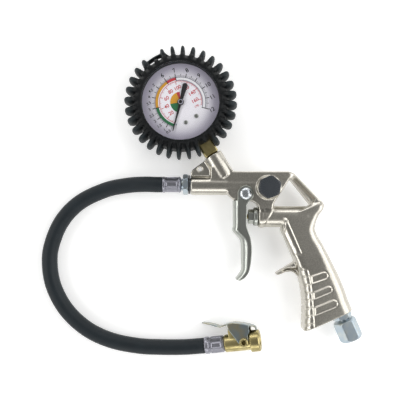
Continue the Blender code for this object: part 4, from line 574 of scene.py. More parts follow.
# %% Round the casting
casting = cast_copy("casting_skin", "gun_body", 0.5, 9)
gun_middle = np.array(GUN.translation) / MM


def rise(value, low, high):
    """0 below low, 1 above high, and a smooth ramp between."""
    share = np.clip((value - low) / (high - low), 0.0, 1.0)
    return share * share * (3 - 2 * share)


def point_normals(mesh):
    flat = np.zeros(len(mesh.vertices) * 3)
    mesh.vertex_normals.foreach_get("vector", flat)
    return flat.reshape(-1, 3)


# %% [markdown]
# The grip's side has a raised panel. In front of it the skin lies 0.8 mm lower and falls away roundly, and
# below the finger spur that lower band carries seven narrow grooves. The panel itself has three pockets,
# 0.9 mm deep, that run back from a thin rib at its edge and end round. Both sides of the casting are alike.

# %% Carve the grip
EDGE_HIGH = [(-17.6, 32.1), (-46.5, 44.3)]
EDGE_LOW = [(-55.4, 47.2), (-61.5, 49.1), (-76.6, 51.0), (-96.3, 52.5), (-106.0, 52.6)]
FINGER_GROOVES = [-62.4, -69.2, -75.5, -81.0, -86.8, -93.2, -99.5]
# start, end and radius of each pocket
POCKETS = [((47.5, -65.4), (60.0, -61.2), 2.8), ((50.0, -77.4), (63.4, -71.8), 2.6),
           ((50.0, -89.5), (67.1, -82.6), 3.0)]
STEP_DEPTH, POCKET_DEPTH = 0.8, 0.9
GROOVE_DEPTH, GROOVE_WIDTH = 0.62, 0.55


def edge_at(y, line):
    """The X of an edge line at each Y."""
    heights, across = zip(*reversed(line))
    return np.interp(y, heights, across)


def from_capsule(x, y, start, end, radius):
    """Distance to a round-ended bar in the plane, negative inside."""
    along = np.array(end) - np.array(start)
    share = np.clip(((x - start[0]) * along[0] + (y - start[1]) * along[1]) / along.dot(along), 0.0, 1.0)
    return np.hypot(x - start[0] - share * along[0], y - start[1] - share * along[1]) - radius


def grip_relief(points, normals):
    """How far each point of the casting moves outwards, in millimetres."""
    x, y, z = points.T
    on_side = np.abs(normals[:, 2])
    into_high, into_low = edge_at(y, EDGE_HIGH) - x, edge_at(y, EDGE_LOW) - x
    high = rise(into_high, -0.3, 0.6) * rise(-y, 16.6, 19.4) * (1 - rise(-y, 43.6, 47.0))
    low = rise(into_low, -0.3, 0.7) * rise(-y, 55.0, 58.0)
    into_band = np.maximum(into_high * (high > 0), into_low * (low > 0))
    fall = STEP_DEPTH + 1.3 * np.clip(into_band / 7.0, 0.0, 1.2) ** 2
    step = -fall * np.maximum(high, low) * on_side * (x > 20.0)
    pocket = np.zeros(len(points))
    for start, end, radius in POCKETS:
        wall = rise(from_capsule(x, y, start, end, radius), -0.6, 0.3)
        pocket = np.minimum(pocket, -POCKET_DEPTH * (1 - wall))
    side = np.minimum(step, pocket * rise(on_side, 0.7, 0.95) * rise(-into_low, 0.7, 1.2))
    front = rise(into_low, 0.2, 1.0) * (y < -59.0)
    lean = y - 0.25 * (x - 45.0)
    finger = np.zeros(len(points))
    for middle in FINGER_GROOVES:
        finger = np.minimum(finger, -GROOVE_DEPTH * np.exp(-((lean - middle) / GROOVE_WIDTH) ** 2))
    return np.where(x > 30.0, side + finger * front, 0.0)


local = mesh_points(casting.data) / MM - gun_middle
normals = point_normals(casting.data)
move = grip_relief(local, normals)

# %% [markdown]
# The strut's plate runs down over the valve tube and ends in a slanted shoulder, half a millimetre proud
# of the tube. It is the bright diagonal line behind the valve's collar.

# %% Shoulder on the valve tube
SHOULDER_HEIGHT = 0.45
(x0, y0), (x1, y1) = (24.3, -7.6), (16.6, -20.4)
length = math.hypot(x1 - x0, y1 - y0)
x, y, z = local.T
beyond = ((x - x0) * (y0 - y1) - (y - y0) * (x0 - x1)) / length
around = np.hypot(y + 16.5, z)
on_tube = (x > 15.4) & (x < 27.0) & (around > 7.4) & (around < 8.8) & (y < -7.0)
move += np.where(on_tube, SHOULDER_HEIGHT * (1 - rise(beyond, -0.35, 0.35)), 0.0)
print("carved points:", int((np.abs(move) > 0.05).sum()), "of", len(local))

# %% [markdown]
# The remesh's squares don't line up with the carved edges, which leaves them like a saw. So the carved
# places and what lies next to them are relaxed a little more, and only those.

# %% Smooth the carving
edges = mesh_edges(casting.data)
near = relax((np.abs(move) > 0.02).astype(float)[:, None], edges, 4)
carved = relax(local + normals * move[:, None], edges, 2, hold=0.5 * np.clip(near * 4, 0.0, 1.0))
move_points(casting, (carved + gun_middle) * MM)
lighten(casting, 0.36)
dress(casting, satin_nickel, "gun", "nickel_casting", "gun_body")

# %% [markdown]
# ## The rubber boot
# The boot is one moulding: a sleeve with a rolled front lip, thirty fins, a small bump on the lip in line
# with each fin, and a hanging loop opposite the stem. The fins are petals: thin, tapered, with a round
# outer edge that runs nearly the sleeve's whole height, and fullest at three and nine o'clock. Sleeve,
# fins, bumps and loop are made as separate closed forms and then melted into one skin by the remesh,
# which leaves the soft inside corners of a moulding at every fin's root.

# %% Boot forms
def add_form(points, faces, new_points, new_faces):
    first = len(points)
    points.extend(new_points)
    faces.extend(tuple(first + i for i in face) for face in new_faces)


def skinned(sections):
    """Points and faces of a solid skinned over sections of equal count."""
    rows, count = len(sections), len(sections[0])
    first, last = end_caps(rows, count)
    return [p for section in sections for p in section], [first[::-1], last, *between_rings(rows, count)]


def oval(half_wide, half_high, steps=16, power=2.6):
    """A rounded rectangle as a superellipse."""
    made = []
    for k in range(steps):
        angle = 2 * math.pi * k / steps
        c, s = math.cos(angle), math.sin(angle)
        made.append((math.copysign(abs(c) ** (2 / power), c) * half_wide,
                     math.copysign(abs(s) ** (2 / power), s) * half_high))
    return made


def turned_about(degrees, point):
    angle = math.radians(degrees)
    x, y, z = point
    return (x * math.cos(angle) - y * math.sin(angle), x * math.sin(angle) + y * math.cos(angle), z)


print("form helpers ready")

# %% [markdown]
# A fin is skinned over eight ovals from its root outwards, which get lower only near its edge. A bump is
# skinned over six that swell and shrink along the lip's slope.

# %% Fins and bumps
BUMPS = 32
STEM_PLACE, LOOP_PLACE = 0, 16      # the two bumps that have no fin beside them
FIN_ROOT, FIN_LENGTH, FIN_MIDDLE = 35.4, 8.1, 1.9
BUMP_ROOT, BUMP_LENGTH, BUMP_TOP = 31.2, 5.4, 15.0


def fin_sections(degrees):
    """A petal. Those at three and nine o'clock are the fullest, since the mould opens that way."""
    fullness = 0.84 + 0.48 * math.cos(math.radians(degrees - GAUGE_TURN)) ** 2
    sections = []
    for share in (0.0, 0.2, 0.4, 0.6, 0.75, 0.87, 0.95, 1.0):
        reach = FIN_ROOT + FIN_LENGTH * share
        half_high = 12.2 * math.sqrt(1.0 - 0.93 * share ** 6)
        half_wide = (2.35 - 0.60 * share - 0.70 * share ** 8) * fullness
        sections.append([turned_about(degrees, (reach, side, FIN_MIDDLE + up))
                         for side, up in oval(half_wide, half_high)])
    return sections


def bump_sections(degrees):
    """A ridge on the lip, in line with a fin."""
    sections = []
    for share in (0.0, 0.2, 0.4, 0.6, 0.8, 1.0):
        reach = BUMP_ROOT + BUMP_LENGTH * share
        swell = math.sin(math.pi * (0.12 + 0.70 * share))
        level = BUMP_TOP - 2.6 * share ** 2
        sections.append([turned_about(degrees, (reach, side, level + up))
                         for side, up in oval(1.75 * swell + 0.1, 2.1 * swell)])
    return sections


points, faces = [], []
for k in range(BUMPS):
    if k not in (STEM_PLACE, LOOP_PLACE):
        add_form(points, faces, *skinned(fin_sections(k * 360.0 / BUMPS)))
for k in range(BUMPS):
    add_form(points, faces, *skinned(bump_sections(k * 360.0 / BUMPS)))
print("boot forms:", len(points), "points")

# %% [markdown]
# The sleeve's profile is turned: up the inside, over the rolled lip that holds the bezel, and down the
# outside to a flange that reaches in behind the case. The loop is a band that springs over two of the
# fins' places, and the stem's slot is left open at the bottom edge.

# %% Sleeve, loop and slot
sleeve = [
    (29.7, 14.2), (29.7, 15.3), (30.0, 16.0), (30.7, 16.4), (31.4, 16.2), (32.3, 15.2), (33.4, 13.4),
    (34.8, 11.2), (36.0, 8.6), (36.3, 0.0), (36.3, -9.0), (36.0, -11.4), (35.0, -12.7), (24.6, -12.8),
    (24.0, -12.4), (24.0, -11.4), (24.5, -10.9), (32.3, -10.8), (32.3, 13.9), (30.2, 13.9),
]
add_form(points, faces, *turned_form(sleeve, steps=144, closed=True))

LOOP_ROOT, LOOP_REACH, LOOP_ANGLE = 35.6, 39.7, 37.0
LOOP_STEPS = 18
loop_sections = []
for i in range(LOOP_STEPS + 1):
    share = i / LOOP_STEPS
    angle = 180.0 - LOOP_ANGLE / 2 + LOOP_ANGLE * share
    lift = min(1.0, 6.0 * share, 6.0 * (1 - share))
    lift = lift * lift * (3 - 2 * lift)
    reach = LOOP_ROOT + (LOOP_REACH - LOOP_ROOT) * lift
    loop_sections.append([turned_about(angle, (reach + out, 0.0, 4.0 + up)) for out, up in oval(1.1, 4.0)])
add_form(points, faces, *skinned(loop_sections))
boot_form = make_mesh("boot_form", points, faces, GAUGE)
slot_outline = ((-6.6, -20), (6.6, -20), (6.6, 6.6), (-6.6, 6.6))
slot_sections = [[(x, y, z) for y, z in slot_outline] for x in (27.0, 48.0)]
slot_form = make_mesh("slot_form", *skinned(slot_sections), GAUGE)

# %% [markdown]
# Melting is a remesh of all the forms at once. The slot is cut before the relaxing, so that its edges
# come out round as well.

# %% Melt the boot into one skin
boot = cast_copy("rubber_boot", "boot_form", 0.5, 0)
combine(boot, slot_form)
move_points(boot, relax(mesh_points(boot.data), mesh_edges(boot.data), 5))
boot.data.shade_smooth()
bpy.data.objects.remove(boot_form, do_unlink=True)
freeze(boot)
lighten(boot, 0.19)
dress(boot, boot_rubber, "gun", "moulded_rubber", "gauge_boot")
print("boot:", len(boot.data.polygons), "faces")

# %% [markdown]
# ## Case, bezel and lens
# The case is a deep-drawn steel cup with a rolled bezel ring in front. The lens is clear acrylic. In
# Cycles a solid of glass would throw the dial into shade, so the lens lets light straight through and
# only adds the mirror that a smooth acrylic face has, weak head-on and strong at a slant. The mirror is
# left off the back of each face, where the same formula would shut slanting light in. Two thin black
# rubber rings, one behind the lens and one in front of it, line the case's wall as painted shade: they
# are the dark line round the dial.

# %% Lens and bezel
clear_acrylic, tree, out = new_material("clear_cast_acrylic")
place = node(tree, "TexCoord")
haze = node(tree, "TexNoise", {"Vector": (place, "Object"), "Scale": grain(3), "Detail": 2.0})
gloss = node(tree, "MapRange", {"Value": (haze, "Fac"), "To Min": 0.03, "To Max": 0.07})
slant = node(tree, "Fresnel", {"IOR": 1.49})
side = node(tree, "NewGeometry")
front = node(tree, "Math", {0: 1.0, 1: (side, "Backfacing")}, operation="SUBTRACT")
share = node(tree, "Math", {0: (slant, "Fac"), 1: (front, 0)}, operation="MULTIPLY")
mirror = node(tree, "BsdfGlossy", {"Color": (1, 1, 1, 1), "Roughness": (gloss, "Result")})
through = node(tree, "BsdfTransparent", {"Color": (0.985, 0.985, 0.99, 1)})
both = node(tree, "MixShader", {0: (share, 0), 1: (through, 0), 2: (mirror, 0)})
tree.links.new(both.outputs[0], out.inputs["Surface"])
lens = turn_piece("acrylic_lens", [(AXIS, 12.6), *broken([(30.9, 12.6), (30.9, 10.6)], 0.4), (AXIS, 10.6)],
                  GAUGE, steps=128)
dress(lens, clear_acrylic, "gun", "clear_lens", "gauge_lens")
bezel = turn_ring("bezel_ring", [(32.0, 14.2), (32.0, 13.2), (29.9, 13.2), (29.9, 14.2)], 0.35, GAUGE,
                  steps=128)
freeze(bezel)
dress(bezel, chrome, "gun", "bright_chrome", "gauge_bezel")
# painted shade: two dark rubber rings stand for the shade on the case's wall round the dial
for name, low, high in (("lens_gasket", 7.8, 10.5), ("lens_front_gasket", 12.65, 13.9)):
    ring = [(29.88, high), (29.88, low), (29.5, low), (29.5, high)]
    shade_ring = turn_ring(name, ring, 0.15, GAUGE, steps=128)
    dress(shade_ring, seal_rubber, "gun", "moulded_rubber")

# %% [markdown]
# ## The dial sheet
# The dial is thin aluminium, enamelled white and screen printed. It is a plain disc, so it is turned, and
# lies upright in a frame of its own over the slanted stem. Its white is painted a little lilac-grey towards
# the rim: painted shade of the boot's lip, which keeps the light off there.

# %% Dial enamel
dial_white, tree, out = new_material("white_dial_enamel")
place = node(tree, "TexCoord")
apart = node(tree, "SeparateXYZ", {0: (place, "Object")})
flat = node(tree, "CombineXYZ", {"X": (apart, "X"), "Y": (apart, "Y")})
reach = node(tree, "VectorMath", {0: (flat, 0)}, operation="LENGTH")
# painted shade: the enamel darkens to lilac-grey from 17 mm to the rim
painted_rim_shade = node(tree, "MapRange", {"Value": (reach, "Value"), "From Min": 17 * MM, "From Max": 29 * MM},
           interpolation_type="SMOOTHSTEP")
speckle = node(tree, "TexNoise", {"Vector": (place, "Object"), "Scale": grain(1.5), "Detail": 2.0})
tint = node(tree, "Mix", {0: (painted_rim_shade, "Result"), 6: "F5F3F7", 7: "C4BFCF"}, data_type="RGBA")
sheen = node(tree, "MapRange", {"Value": (speckle, "Fac"), "To Min": 0.38, "To Max": 0.46})
enamel = node(tree, "BsdfPrincipled", {"Base Color": (tint, 2), "Roughness": (sheen, "Result"), "IOR": 1.5})
tree.links.new(enamel.outputs[0], out.inputs["Surface"])

# %% [markdown]
# The sheet is half a millimetre thick, with a hole for the pointer's arbor.

# %% Dial sheet
sheet = turn_ring("dial_sheet", [(29.9, 7.7), (29.9, 7.2), (1.8, 7.2), (1.8, 7.7)], 0.1, DIAL, steps=128)
dress(sheet, dial_white, "gun", "white_dial", "gauge_dial")

# %% [markdown]
# ## Printing inks
# Screen inks are thick and slightly uneven, so each ink has a faint mottle. One function mixes an ink
# from two near colours, because that is all that differs between them.

# %% Inks
def screen_ink(name, light, dark):
    return finish(name, (light, dark), fine=(0.5, 2.0), rough=0.45, kind={"IOR": 1.5})


black_ink = screen_ink("black_screen_ink", "2A2B30", "1E1F24")
red_ink = screen_ink("red_screen_ink", "D0464C", "BC3038")
orange_ink = screen_ink("orange_screen_ink", "E0A634", "D0942A")
green_ink = screen_ink("green_screen_ink", "2F7A4C", "226A40")
grey_ink = screen_ink("grey_screen_ink", "9A9AA4", "8C8C98")
white_ink = screen_ink("white_screen_ink", "FAFAFA", "F0F0F2")

# %% [markdown]
# ## Drawing the scales
# The outer scale reads from 0 to 12 bar in black, the inner one from 0 to 170 psi in red. Both run
# clockwise, about 23 degrees a bar, and the whole dial is turned 30 degrees so that it stands upright over
# the slanted stem. Ticks, bands and figures are cut from flat sheet and laid 0.03 mm over the enamel.

# %% Scale drawing helpers
UPRIGHT = 30.0
INK_LEVEL = 7.73
TOP_INK_LEVEL = INK_LEVEL + 0.01
ONE_BAR_AT, DEGREES_A_BAR = 239.9, 23.05
PSI_A_BAR = 14.504


def bar_angle(bar):
    return ONE_BAR_AT - DEGREES_A_BAR * (bar - 1.0)


def ring_part(inner, outer, start, end, level=INK_LEVEL, step=2.0):
    """A flat arc between two radii and two angles."""
    count = int(abs(end - start) / step)
    points, faces = [], []
    for i in range(count + 1):
        angle = math.radians(start + (end - start) * i / count)
        points += [(inner * math.cos(angle), inner * math.sin(angle), level),
                   (outer * math.cos(angle), outer * math.sin(angle), level)]
    for i in range(count):
        faces.append((2 * i, 2 * i + 1, 2 * i + 3, 2 * i + 2))
    return points, faces


def tick(angle, inner, outer, width):
    turn = math.radians(angle)
    along = (math.cos(turn), math.sin(turn))
    aside = (-math.sin(turn) * width / 2, math.cos(turn) * width / 2)
    points = [(along[0] * r + s * aside[0], along[1] * r + s * aside[1], TOP_INK_LEVEL)
              for r, s in ((inner, -1), (outer, -1), (outer, 1), (inner, 1))]
    return points, [(0, 1, 2, 3)]


print("ticks and bands can be cut")

# %% [markdown]
# The figures come from the plain typeface that is built into Blender, made a little bolder. Each group of
# marks of one ink becomes one piece.

# %% Figures and printing
DIGIT_SHARE, BOLDER = 0.70, 0.026      # a digit's height in the typeface's size; ink spread in its height


def figures(text, high, x, y):
    """A number in the plain built-in typeface, its middle at (x, y), as tall as high."""
    curve = bpy.data.curves.new("figures", "FONT")
    curve.body = text
    curve.size = high / DIGIT_SHARE
    curve.align_x = "CENTER"
    curve.align_y = "CENTER"
    curve.offset = BOLDER * high
    drawn = bpy.data.objects.new("figures", curve)
    bpy.context.scene.collection.objects.link(drawn)
    bpy.context.view_layer.update()
    mesh = drawn.to_mesh()
    tilt = math.radians(UPRIGHT)
    points = [(x + p.co.x * math.cos(tilt) - p.co.y * math.sin(tilt),
               y + p.co.x * math.sin(tilt) + p.co.y * math.cos(tilt), TOP_INK_LEVEL) for p in mesh.vertices]
    faces = [tuple(face.vertices) for face in mesh.polygons]
    drawn.to_mesh_clear()
    bpy.data.objects.remove(drawn, do_unlink=True)
    bpy.data.curves.remove(curve)
    return points, faces


def print_ink(name, forms, paint, body="gun"):
    points, faces = [], []
    for form in forms:
        add_form(points, faces, *form)
    made = make_mesh(name, points, faces, DIAL)
    dress(made, paint, body, "white_dial")
    print(f"{name}: {len(forms)} marks")


def polar(radius, angle):
    return radius * math.cos(math.radians(angle)), radius * math.sin(math.radians(angle))


print("figures can be printed")

# %% [markdown]
# Green, orange and red mark rising pressures, once as a band between the two scales and once as a sector
# round the middle. White and grey arcs fill the band's place beyond 7 bar.

# %% Bands
BAND, MIDDLE = (17.2, 19.3), (1.8, 8.0)
SCALE_START = 254.5
for name, start, end, middle_start, middle_end, ink in (
        ("dial_green", SCALE_START, bar_angle(3), 250.0, 190.0, green_ink),
        ("dial_orange", bar_angle(3), bar_angle(6), 190.0, 115.0, orange_ink),
        ("dial_red_band", bar_angle(6), bar_angle(7), 115.0, 95.0, red_ink)):
    print_ink(name, [ring_part(*BAND, start, end), ring_part(*MIDDLE, middle_start, middle_end)], ink)
print_ink("dial_white_arc", [ring_part(17.2, 18.9, bar_angle(7), bar_angle(12))], white_ink)
print_ink("dial_grey_arc", [ring_part(16.6, 17.2, bar_angle(7), bar_angle(12)),
                            ring_part(18.9, 19.5, bar_angle(7), bar_angle(12)),
                            ring_part(19.3, 19.8, SCALE_START, bar_angle(7))], grey_ink)

# %% [markdown]
# The bar scale has a tick at each whole, half and tenth of a bar. Its small figures stop at 5, and the
# large ones go from 6 to 12.

# %% Black bar scale
marks = [tick(bar_angle(bar), 16.6 if bar in (3, 6, 7, 12) else 19.3, 22.2, 0.62) for bar in range(1, 13)]
marks += [tick(bar_angle(half / 2), 19.6, 21.6, 0.38) for half in range(1, 24, 2)]
marks += [tick(bar_angle(tenth / 10), 19.6, 20.8, 0.20) for tenth in range(5, 120) if tenth % 5]
for bar in range(6, 13):
    marks.append(figures(str(bar), 3.1, *polar(24.7, bar_angle(bar))))
for half in range(1, 11):
    marks.append(figures(f"{half / 2:g}", 2.1, *polar(24.4, bar_angle(half / 2) - (4 if half == 1 else 0))))
print_ink("dial_black", marks, black_ink)

# %% [markdown]
# The psi scale hangs from a thin arc, with a figure at every 20 psi. Its last one, 170, is smaller and
# stands aside to fit.

# %% Red psi scale
marks = [ring_part(16.1, 16.45, SCALE_START, bar_angle(170 / PSI_A_BAR))]
marks += [tick(bar_angle(psi / PSI_A_BAR), 13.8, 16.3, 0.44) for psi in range(20, 180, 20)]
marks += [tick(bar_angle(psi / PSI_A_BAR), 14.8, 16.3, 0.24) for psi in range(10, 180, 20)]
marks += [tick(bar_angle(psi / PSI_A_BAR), 15.3, 16.3, 0.13) for psi in range(12, 170, 2) if psi % 10]
for psi in range(20, 180, 20):
    marks.append(figures(str(psi), 2.7, *polar(11.1, bar_angle(psi / PSI_A_BAR) - 2)))
marks.append(figures("170", 1.7, *polar(12.7, bar_angle(170 / PSI_A_BAR) - 7)))
print_ink("dial_red", marks, red_ink)

# %% [markdown]
# ## The pointer
# A stamped needle, painted black: a long thin end that reads the scale and a broad round tail that
# balances it, with a small pale ring at its hub. It turns on its arbor, so everything on it rides with the
# pointer's body.

# %% Pointer
needle_black = screen_ink("matt_black_needle_paint", "1B1B1D", "131315")
REST = 255.0
outline = [(23.0, 0.20), (22.4, 0.35), (2.5, 0.95), (-2.5, 1.15), (-10.5, 1.85)]
turns = [math.radians(degrees) for degrees in range(70, 291, 20)]
tail = [(-12.9 + 1.95 * math.cos(a), 1.95 * math.sin(a)) for a in turns]
edge = outline + tail + [(x, -y) for x, y in reversed(outline)]
needle = make_mesh("needle", *skinned([[(x, y, z) for x, y in edge] for z in (8.6, 9.0)]), DIAL @ spin(REST))
dress(needle, needle_black, "pointer", "black_needle", "gauge_pointer")
hub_edge = broken([(2.2, 9.9), (2.5, 9.6), (2.5, 8.3)], 0.2)
hub = turn_piece("needle_hub", [(AXIS, 9.9), *hub_edge, (AXIS, 8.3)], DIAL, steps=48)
dress(hub, needle_black, "pointer", "black_needle")
print_ink("needle_ring", [ring_part(1.3, 2.0, 0, 360, 9.93, 10.0)], grey_ink, "pointer")

# %% [markdown]
# ## Behind the dial
# A Bourdon tube straightens as the pressure rises, and its tip pulls a link that turns a toothed sector
# against the pointer's pinion. None of this shows from outside, so the solids keep their CAD shapes, and
# each takes the metal that a gauge maker uses: brass for the works, steel for arbors, screws and link.

# %% Finish the works
def finish_solid(node_name, paint):
    """A CAD solid that keeps its shape and gets its real finish."""
    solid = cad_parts[node_name]
    solid.data.materials.clear()
    solid.data.materials.append(paint)


for works in ("bourdon_tube", "bourdon_tip", "movement_plate_back", "movement_plate_front",
              "movement_pillar_a", "movement_pillar_b", "sector_gear"):
    finish_solid(works, turned_brass)
for steel in ("pinion_arbor", "link_rod", "pointer_stop", "gauge_case"):
    finish_solid(steel, blue_zinc)
print("gauge works finished")

# %% [markdown]
# ## Dial screws
# Two small cheese-head screws hold the dial to the stem's block. Their heads are grey and slightly domed,
# with one slot each.

# %% Dial screws
def rod(name, radius, low, high, place, steps=40):
    """A plain round bar, to drill with."""
    return turn_piece(name, [(AXIS, high), (radius, high), (radius, low), (AXIS, low)], place, steps=steps)


def brick(name, low, high, place):
    """A plain box, to cut with or to join on."""
    points = [(x, y, z) for z in (low[2], high[2]) for y in (low[1], high[1]) for x in (low[0], high[0])]
    faces = [(0, 1, 3, 2), (4, 5, 7, 6), (0, 1, 5, 4), (2, 3, 7, 6), (0, 2, 6, 4), (1, 3, 7, 5)]
    return make_mesh(name, points, faces, place)


for side, name in ((1, "dial_screw_a"), (-1, "dial_screw_b")):
    spot = GAUGE @ spin(17.0 * side) @ shift(16.0, 0.0)
    head = broken([(0.9, 8.46), (1.55, 8.3), (1.6, 8.0), (0.8, 8.0)], 0.1)
    screw = turn_piece(name + "_head", [(AXIS, 8.5), *head, (0.8, 4.8), (AXIS, 4.8)], spot, steps=40)
    crisp_cut(screw, brick("screw_slot", (-2.0, -0.18, 8.25), (2.0, 0.18, 9.0), spot @ spin(35.0)))
    dress(screw, sheet_nickel, "gun", "zinc_steel", name)

# %% [markdown]
# ## The stem
# A square brass stem joins the gauge to the gun: the only brass that shows between black rubber and the
# casting. It is milled, so its chamfers stay crisp, and a finer remesh keeps them so.

# %% Stem
stem = cast_copy("brass_stem", "gauge_stem", 0.35, 2)
lighten(stem, 0.15)
dress(stem, turned_brass, "gun", "turned_brass", "gauge_stem")

# %% [markdown]
# ## The trigger
# One blank of 1.5 mm steel is folded to a channel that is open at the back. Above its bend the fold has a
# 5 mm radius beside flat cheeks; below, where the fingers pull, it is rolled almost to a half tube. The
# channel is drawn section by section from the pivot to the tip, along a smooth curve through the stations
# that the CAD model also uses, and the two ears that hold the screw are melted on.

# %% Trigger stations
HALF_WIDTH = 8.5
# front point, back point, radius of the fold, half width
TRIGGER_LINE = [
    ((-8.4, -3.9), (1.7, -3.9), 4.6, HALF_WIDTH), ((-8.4, -14.0), (1.7, -14.0), 4.6, HALF_WIDTH),
    ((-8.4, -23.3), (1.6, -22.4), 4.6, HALF_WIDTH), ((-9.1, -26.6), (2.1, -25.4), 5.0, HALF_WIDTH),
    ((-8.1, -28.9), (3.2, -28.6), 5.6, HALF_WIDTH), ((-5.8, -31.3), (4.4, -32.0), 6.2, HALF_WIDTH),
    ((-3.7, -33.8), (5.1, -35.2), 6.6, HALF_WIDTH), ((-2.6, -37.3), (5.5, -38.7), 6.8, HALF_WIDTH),
    ((-2.2, -44.0), (5.6, -44.1), 6.6, HALF_WIDTH), ((-2.2, -50.4), (5.1, -50.4), 6.2, HALF_WIDTH),
    ((-2.0, -56.6), (4.1, -56.4), 5.4, HALF_WIDTH), ((-3.0, -59.7), (2.5, -60.5), 4.8, 8.2),
    ((-5.0, -62.6), (-0.2, -64.0), 4.2, 7.6), ((-6.9, -64.9), (-3.4, -66.0), 3.0, 6.6),
]
SHEET = 1.5


def fold_arc(radius, deep, half):
    """The quarter of a fold that starts on the cheek, as (distance from the front, height)."""
    made = []
    for i in range(11):
        turn = math.radians(9.0 * i)
        made.append((deep + radius * (1 - math.sin(turn)), half - radius * (1 - math.cos(turn))))
    return made


def channel_section(front, back, radius, half):
    front, back = Vector((*front, 0.0)), Vector((*back, 0.0))
    along, depth = (back - front).normalized(), (back - front).length
    outer = [(depth, half), *fold_arc(radius, 0.0, half)]
    inner = [(depth, half - SHEET), *fold_arc(max(radius - SHEET, 0.6), SHEET, half - SHEET)]
    round_outside = outer + [(d, -h) for d, h in reversed(outer)]
    back_inside = [(d, -h) for d, h in inner] + inner[::-1]
    return [front + along * d + Vector((0, 0, h)) for d, h in round_outside + back_inside]


def on_curve(before, start, end, after, t):
    """A point of the Catmull-Rom curve that leads from start to end."""
    square = (2 * before - 5 * start + 4 * end - after) * t ** 2
    cube = (3 * start - before - 3 * end + after) * t ** 3
    return start + ((end - before) * t + square + cube) / 2


def between(stations, pieces):
    """Stations added on a Catmull-Rom curve through the given ones."""
    rows = [np.array([*front, *back, radius, half]) for front, back, radius, half in stations]
    made = []
    for i in range(len(rows) - 1):
        before, after = rows[max(i - 1, 0)], rows[min(i + 2, len(rows) - 1)]
        made += [on_curve(before, rows[i], rows[i + 1], after, j / pieces) for j in range(pieces)]
    made.append(rows[-1])
    return [((r[0], r[1]), (r[2], r[3]), r[4], r[5]) for r in made]


# %% [markdown]
# The channel and its ears are separate closed forms too. The rounded copy melts them into one sheet, and
# the screw's hole is drilled through both ears.

# %% Trigger
points, faces = [], []
add_form(points, faces, *skinned([channel_section(*station) for station in between(TRIGGER_LINE, 5)]))
EAR_RADIUS = 6.2
ear_outline = [(0.9 + EAR_RADIUS * math.cos(math.radians(a)), 1.1 + EAR_RADIUS * math.sin(math.radians(a)))
               for a in range(-62, 181, 9)] + [(-5.3, -8.0), (1.6, -8.0)]
for low, high in ((7.0, 8.5), (-8.5, -7.0)):
    add_form(points, faces, *skinned([[(x, y, z) for x, y in ear_outline] for z in (low, high)]))
blank = make_mesh("trigger_blank", points, faces, GUN)
lever = cast_copy("trigger_channel", "trigger_blank", 0.32, 2)
bpy.data.objects.remove(blank, do_unlink=True)
combine(lever, rod("trigger_eye", 2.7, -12.0, 12.0, PIVOT, steps=48))
lever.data.shade_smooth()
lighten(lever, 0.22)
dress(lever, sheet_nickel, "trigger_lever", "nickel_steel", "trigger")

# %% [markdown]
# ## The hose
# The hose is 12.2 mm rubber with a textile braid inside. It was cured wrapped in cloth tape, and the tape's
# weave is pressed into its skin. It leaves the barrel level, drops to the table within 6 cm and lies in
# one round sweep to the chuck, 283 mm in all, as the photograph shows from end to end. Its line passes
# through listed points, joined by a smooth curve.

# %% The hose's line
HOSE_RADIUS = 6.1
ROUTE = [
    (-63.5, 8.4, 0.0), (-67.5, 8.4, 0.0), (-78.0, 8.7, -1.6), (-91.0, 8.0, -4.2), (-108.8, 4.5, -6.4),
    (-129.2, -5.3, -6.6), (-143.7, -20.5, -6.6), (-151.9, -40.4, -6.6), (-152.9, -57.0, -6.6),
    (-149.2, -73.8, -6.6), (-139.2, -91.2, -6.6), (-123.5, -105.5, -6.6), (-104.6, -114.4, -6.6),
    (-83.1, -118.8, -6.6), (-65.0, -119.8, -6.6), (-47.0, -119.8, -6.6), (-34.26, -118.9, -6.49),
    (-30.36, -118.35, -5.8),
]


def smooth_line(route, pieces=12):
    """A Catmull-Rom curve through the inner points; the first and last steps stay straight."""
    spots = [Vector(p) for p in route]
    inner = spots[1:-1]
    line = [spots[0].lerp(spots[1], i / 4) for i in range(4)]
    for i in range(len(inner) - 1):
        start, end = inner[i], inner[i + 1]
        before = inner[i - 1] if i else start * 2 - end
        after = inner[i + 2] if i + 2 < len(inner) else end * 2 - start
        line += [on_curve(before, start, end, after, j / pieces) for j in range(pieces)]
    line += [spots[-2].lerp(spots[-1], i / 4) for i in range(5)]
    return line


hose_line = smooth_line(ROUTE)
hose_length = sum((b - a).length for a, b in zip(hose_line, hose_line[1:]))
print("hose line:", round(hose_length, 1), "mm in", len(hose_line), "points")

# %% [markdown]
# A tube is a ring carried along the line. The ring is turned only as much as the line bends, so it never
# twists, and each face gets map coordinates in millimetres: round the hose and along it. The cloth's
# imprint is drawn in those millimetres, which a noise in space couldn't follow round the bend.

# %% Hose tube
def tube_piece(name, line, radius, place, sides=48):
    """A closed tube along a line, with map coordinates in millimetres."""
    points = []
    ahead = (line[1] - line[0]).normalized()
    up = Vector((0, 0, 1))
    run, runs = 0.0, []
    for i, spot in enumerate(line):
        onward = (line[min(i + 1, len(line) - 1)] - line[max(i - 1, 0)]).normalized()
        up = ahead.rotation_difference(onward) @ up
        up = (up - onward * up.dot(onward)).normalized()
        aside = onward.cross(up)
        ahead = onward
        if i:
            run += (spot - line[i - 1]).length
        runs.append(run)
        for k in range(sides):
            angle = 2 * math.pi * k / sides
            points.append(spot + (up * math.cos(angle) + aside * math.sin(angle)) * radius)
    made = make_mesh(name, points, between_rings(len(line), sides) + end_caps(len(line), sides), place)
    layer = made.data.uv_layers.new(name="millimetres")
    girth = 2 * math.pi * radius
    for face in made.data.polygons:
        marks = [made.data.loops[i].vertex_index for i in face.loop_indices]
        around = [(m % sides) / sides * girth for m in marks]
        if max(around) - min(around) > girth / 2:
            around = [a + girth if a < girth / 2 else a for a in around]
        for loop, mark, across in zip(face.loop_indices, marks, around):
            layer.data[loop].uv = (across, runs[mark // sides])
    return made


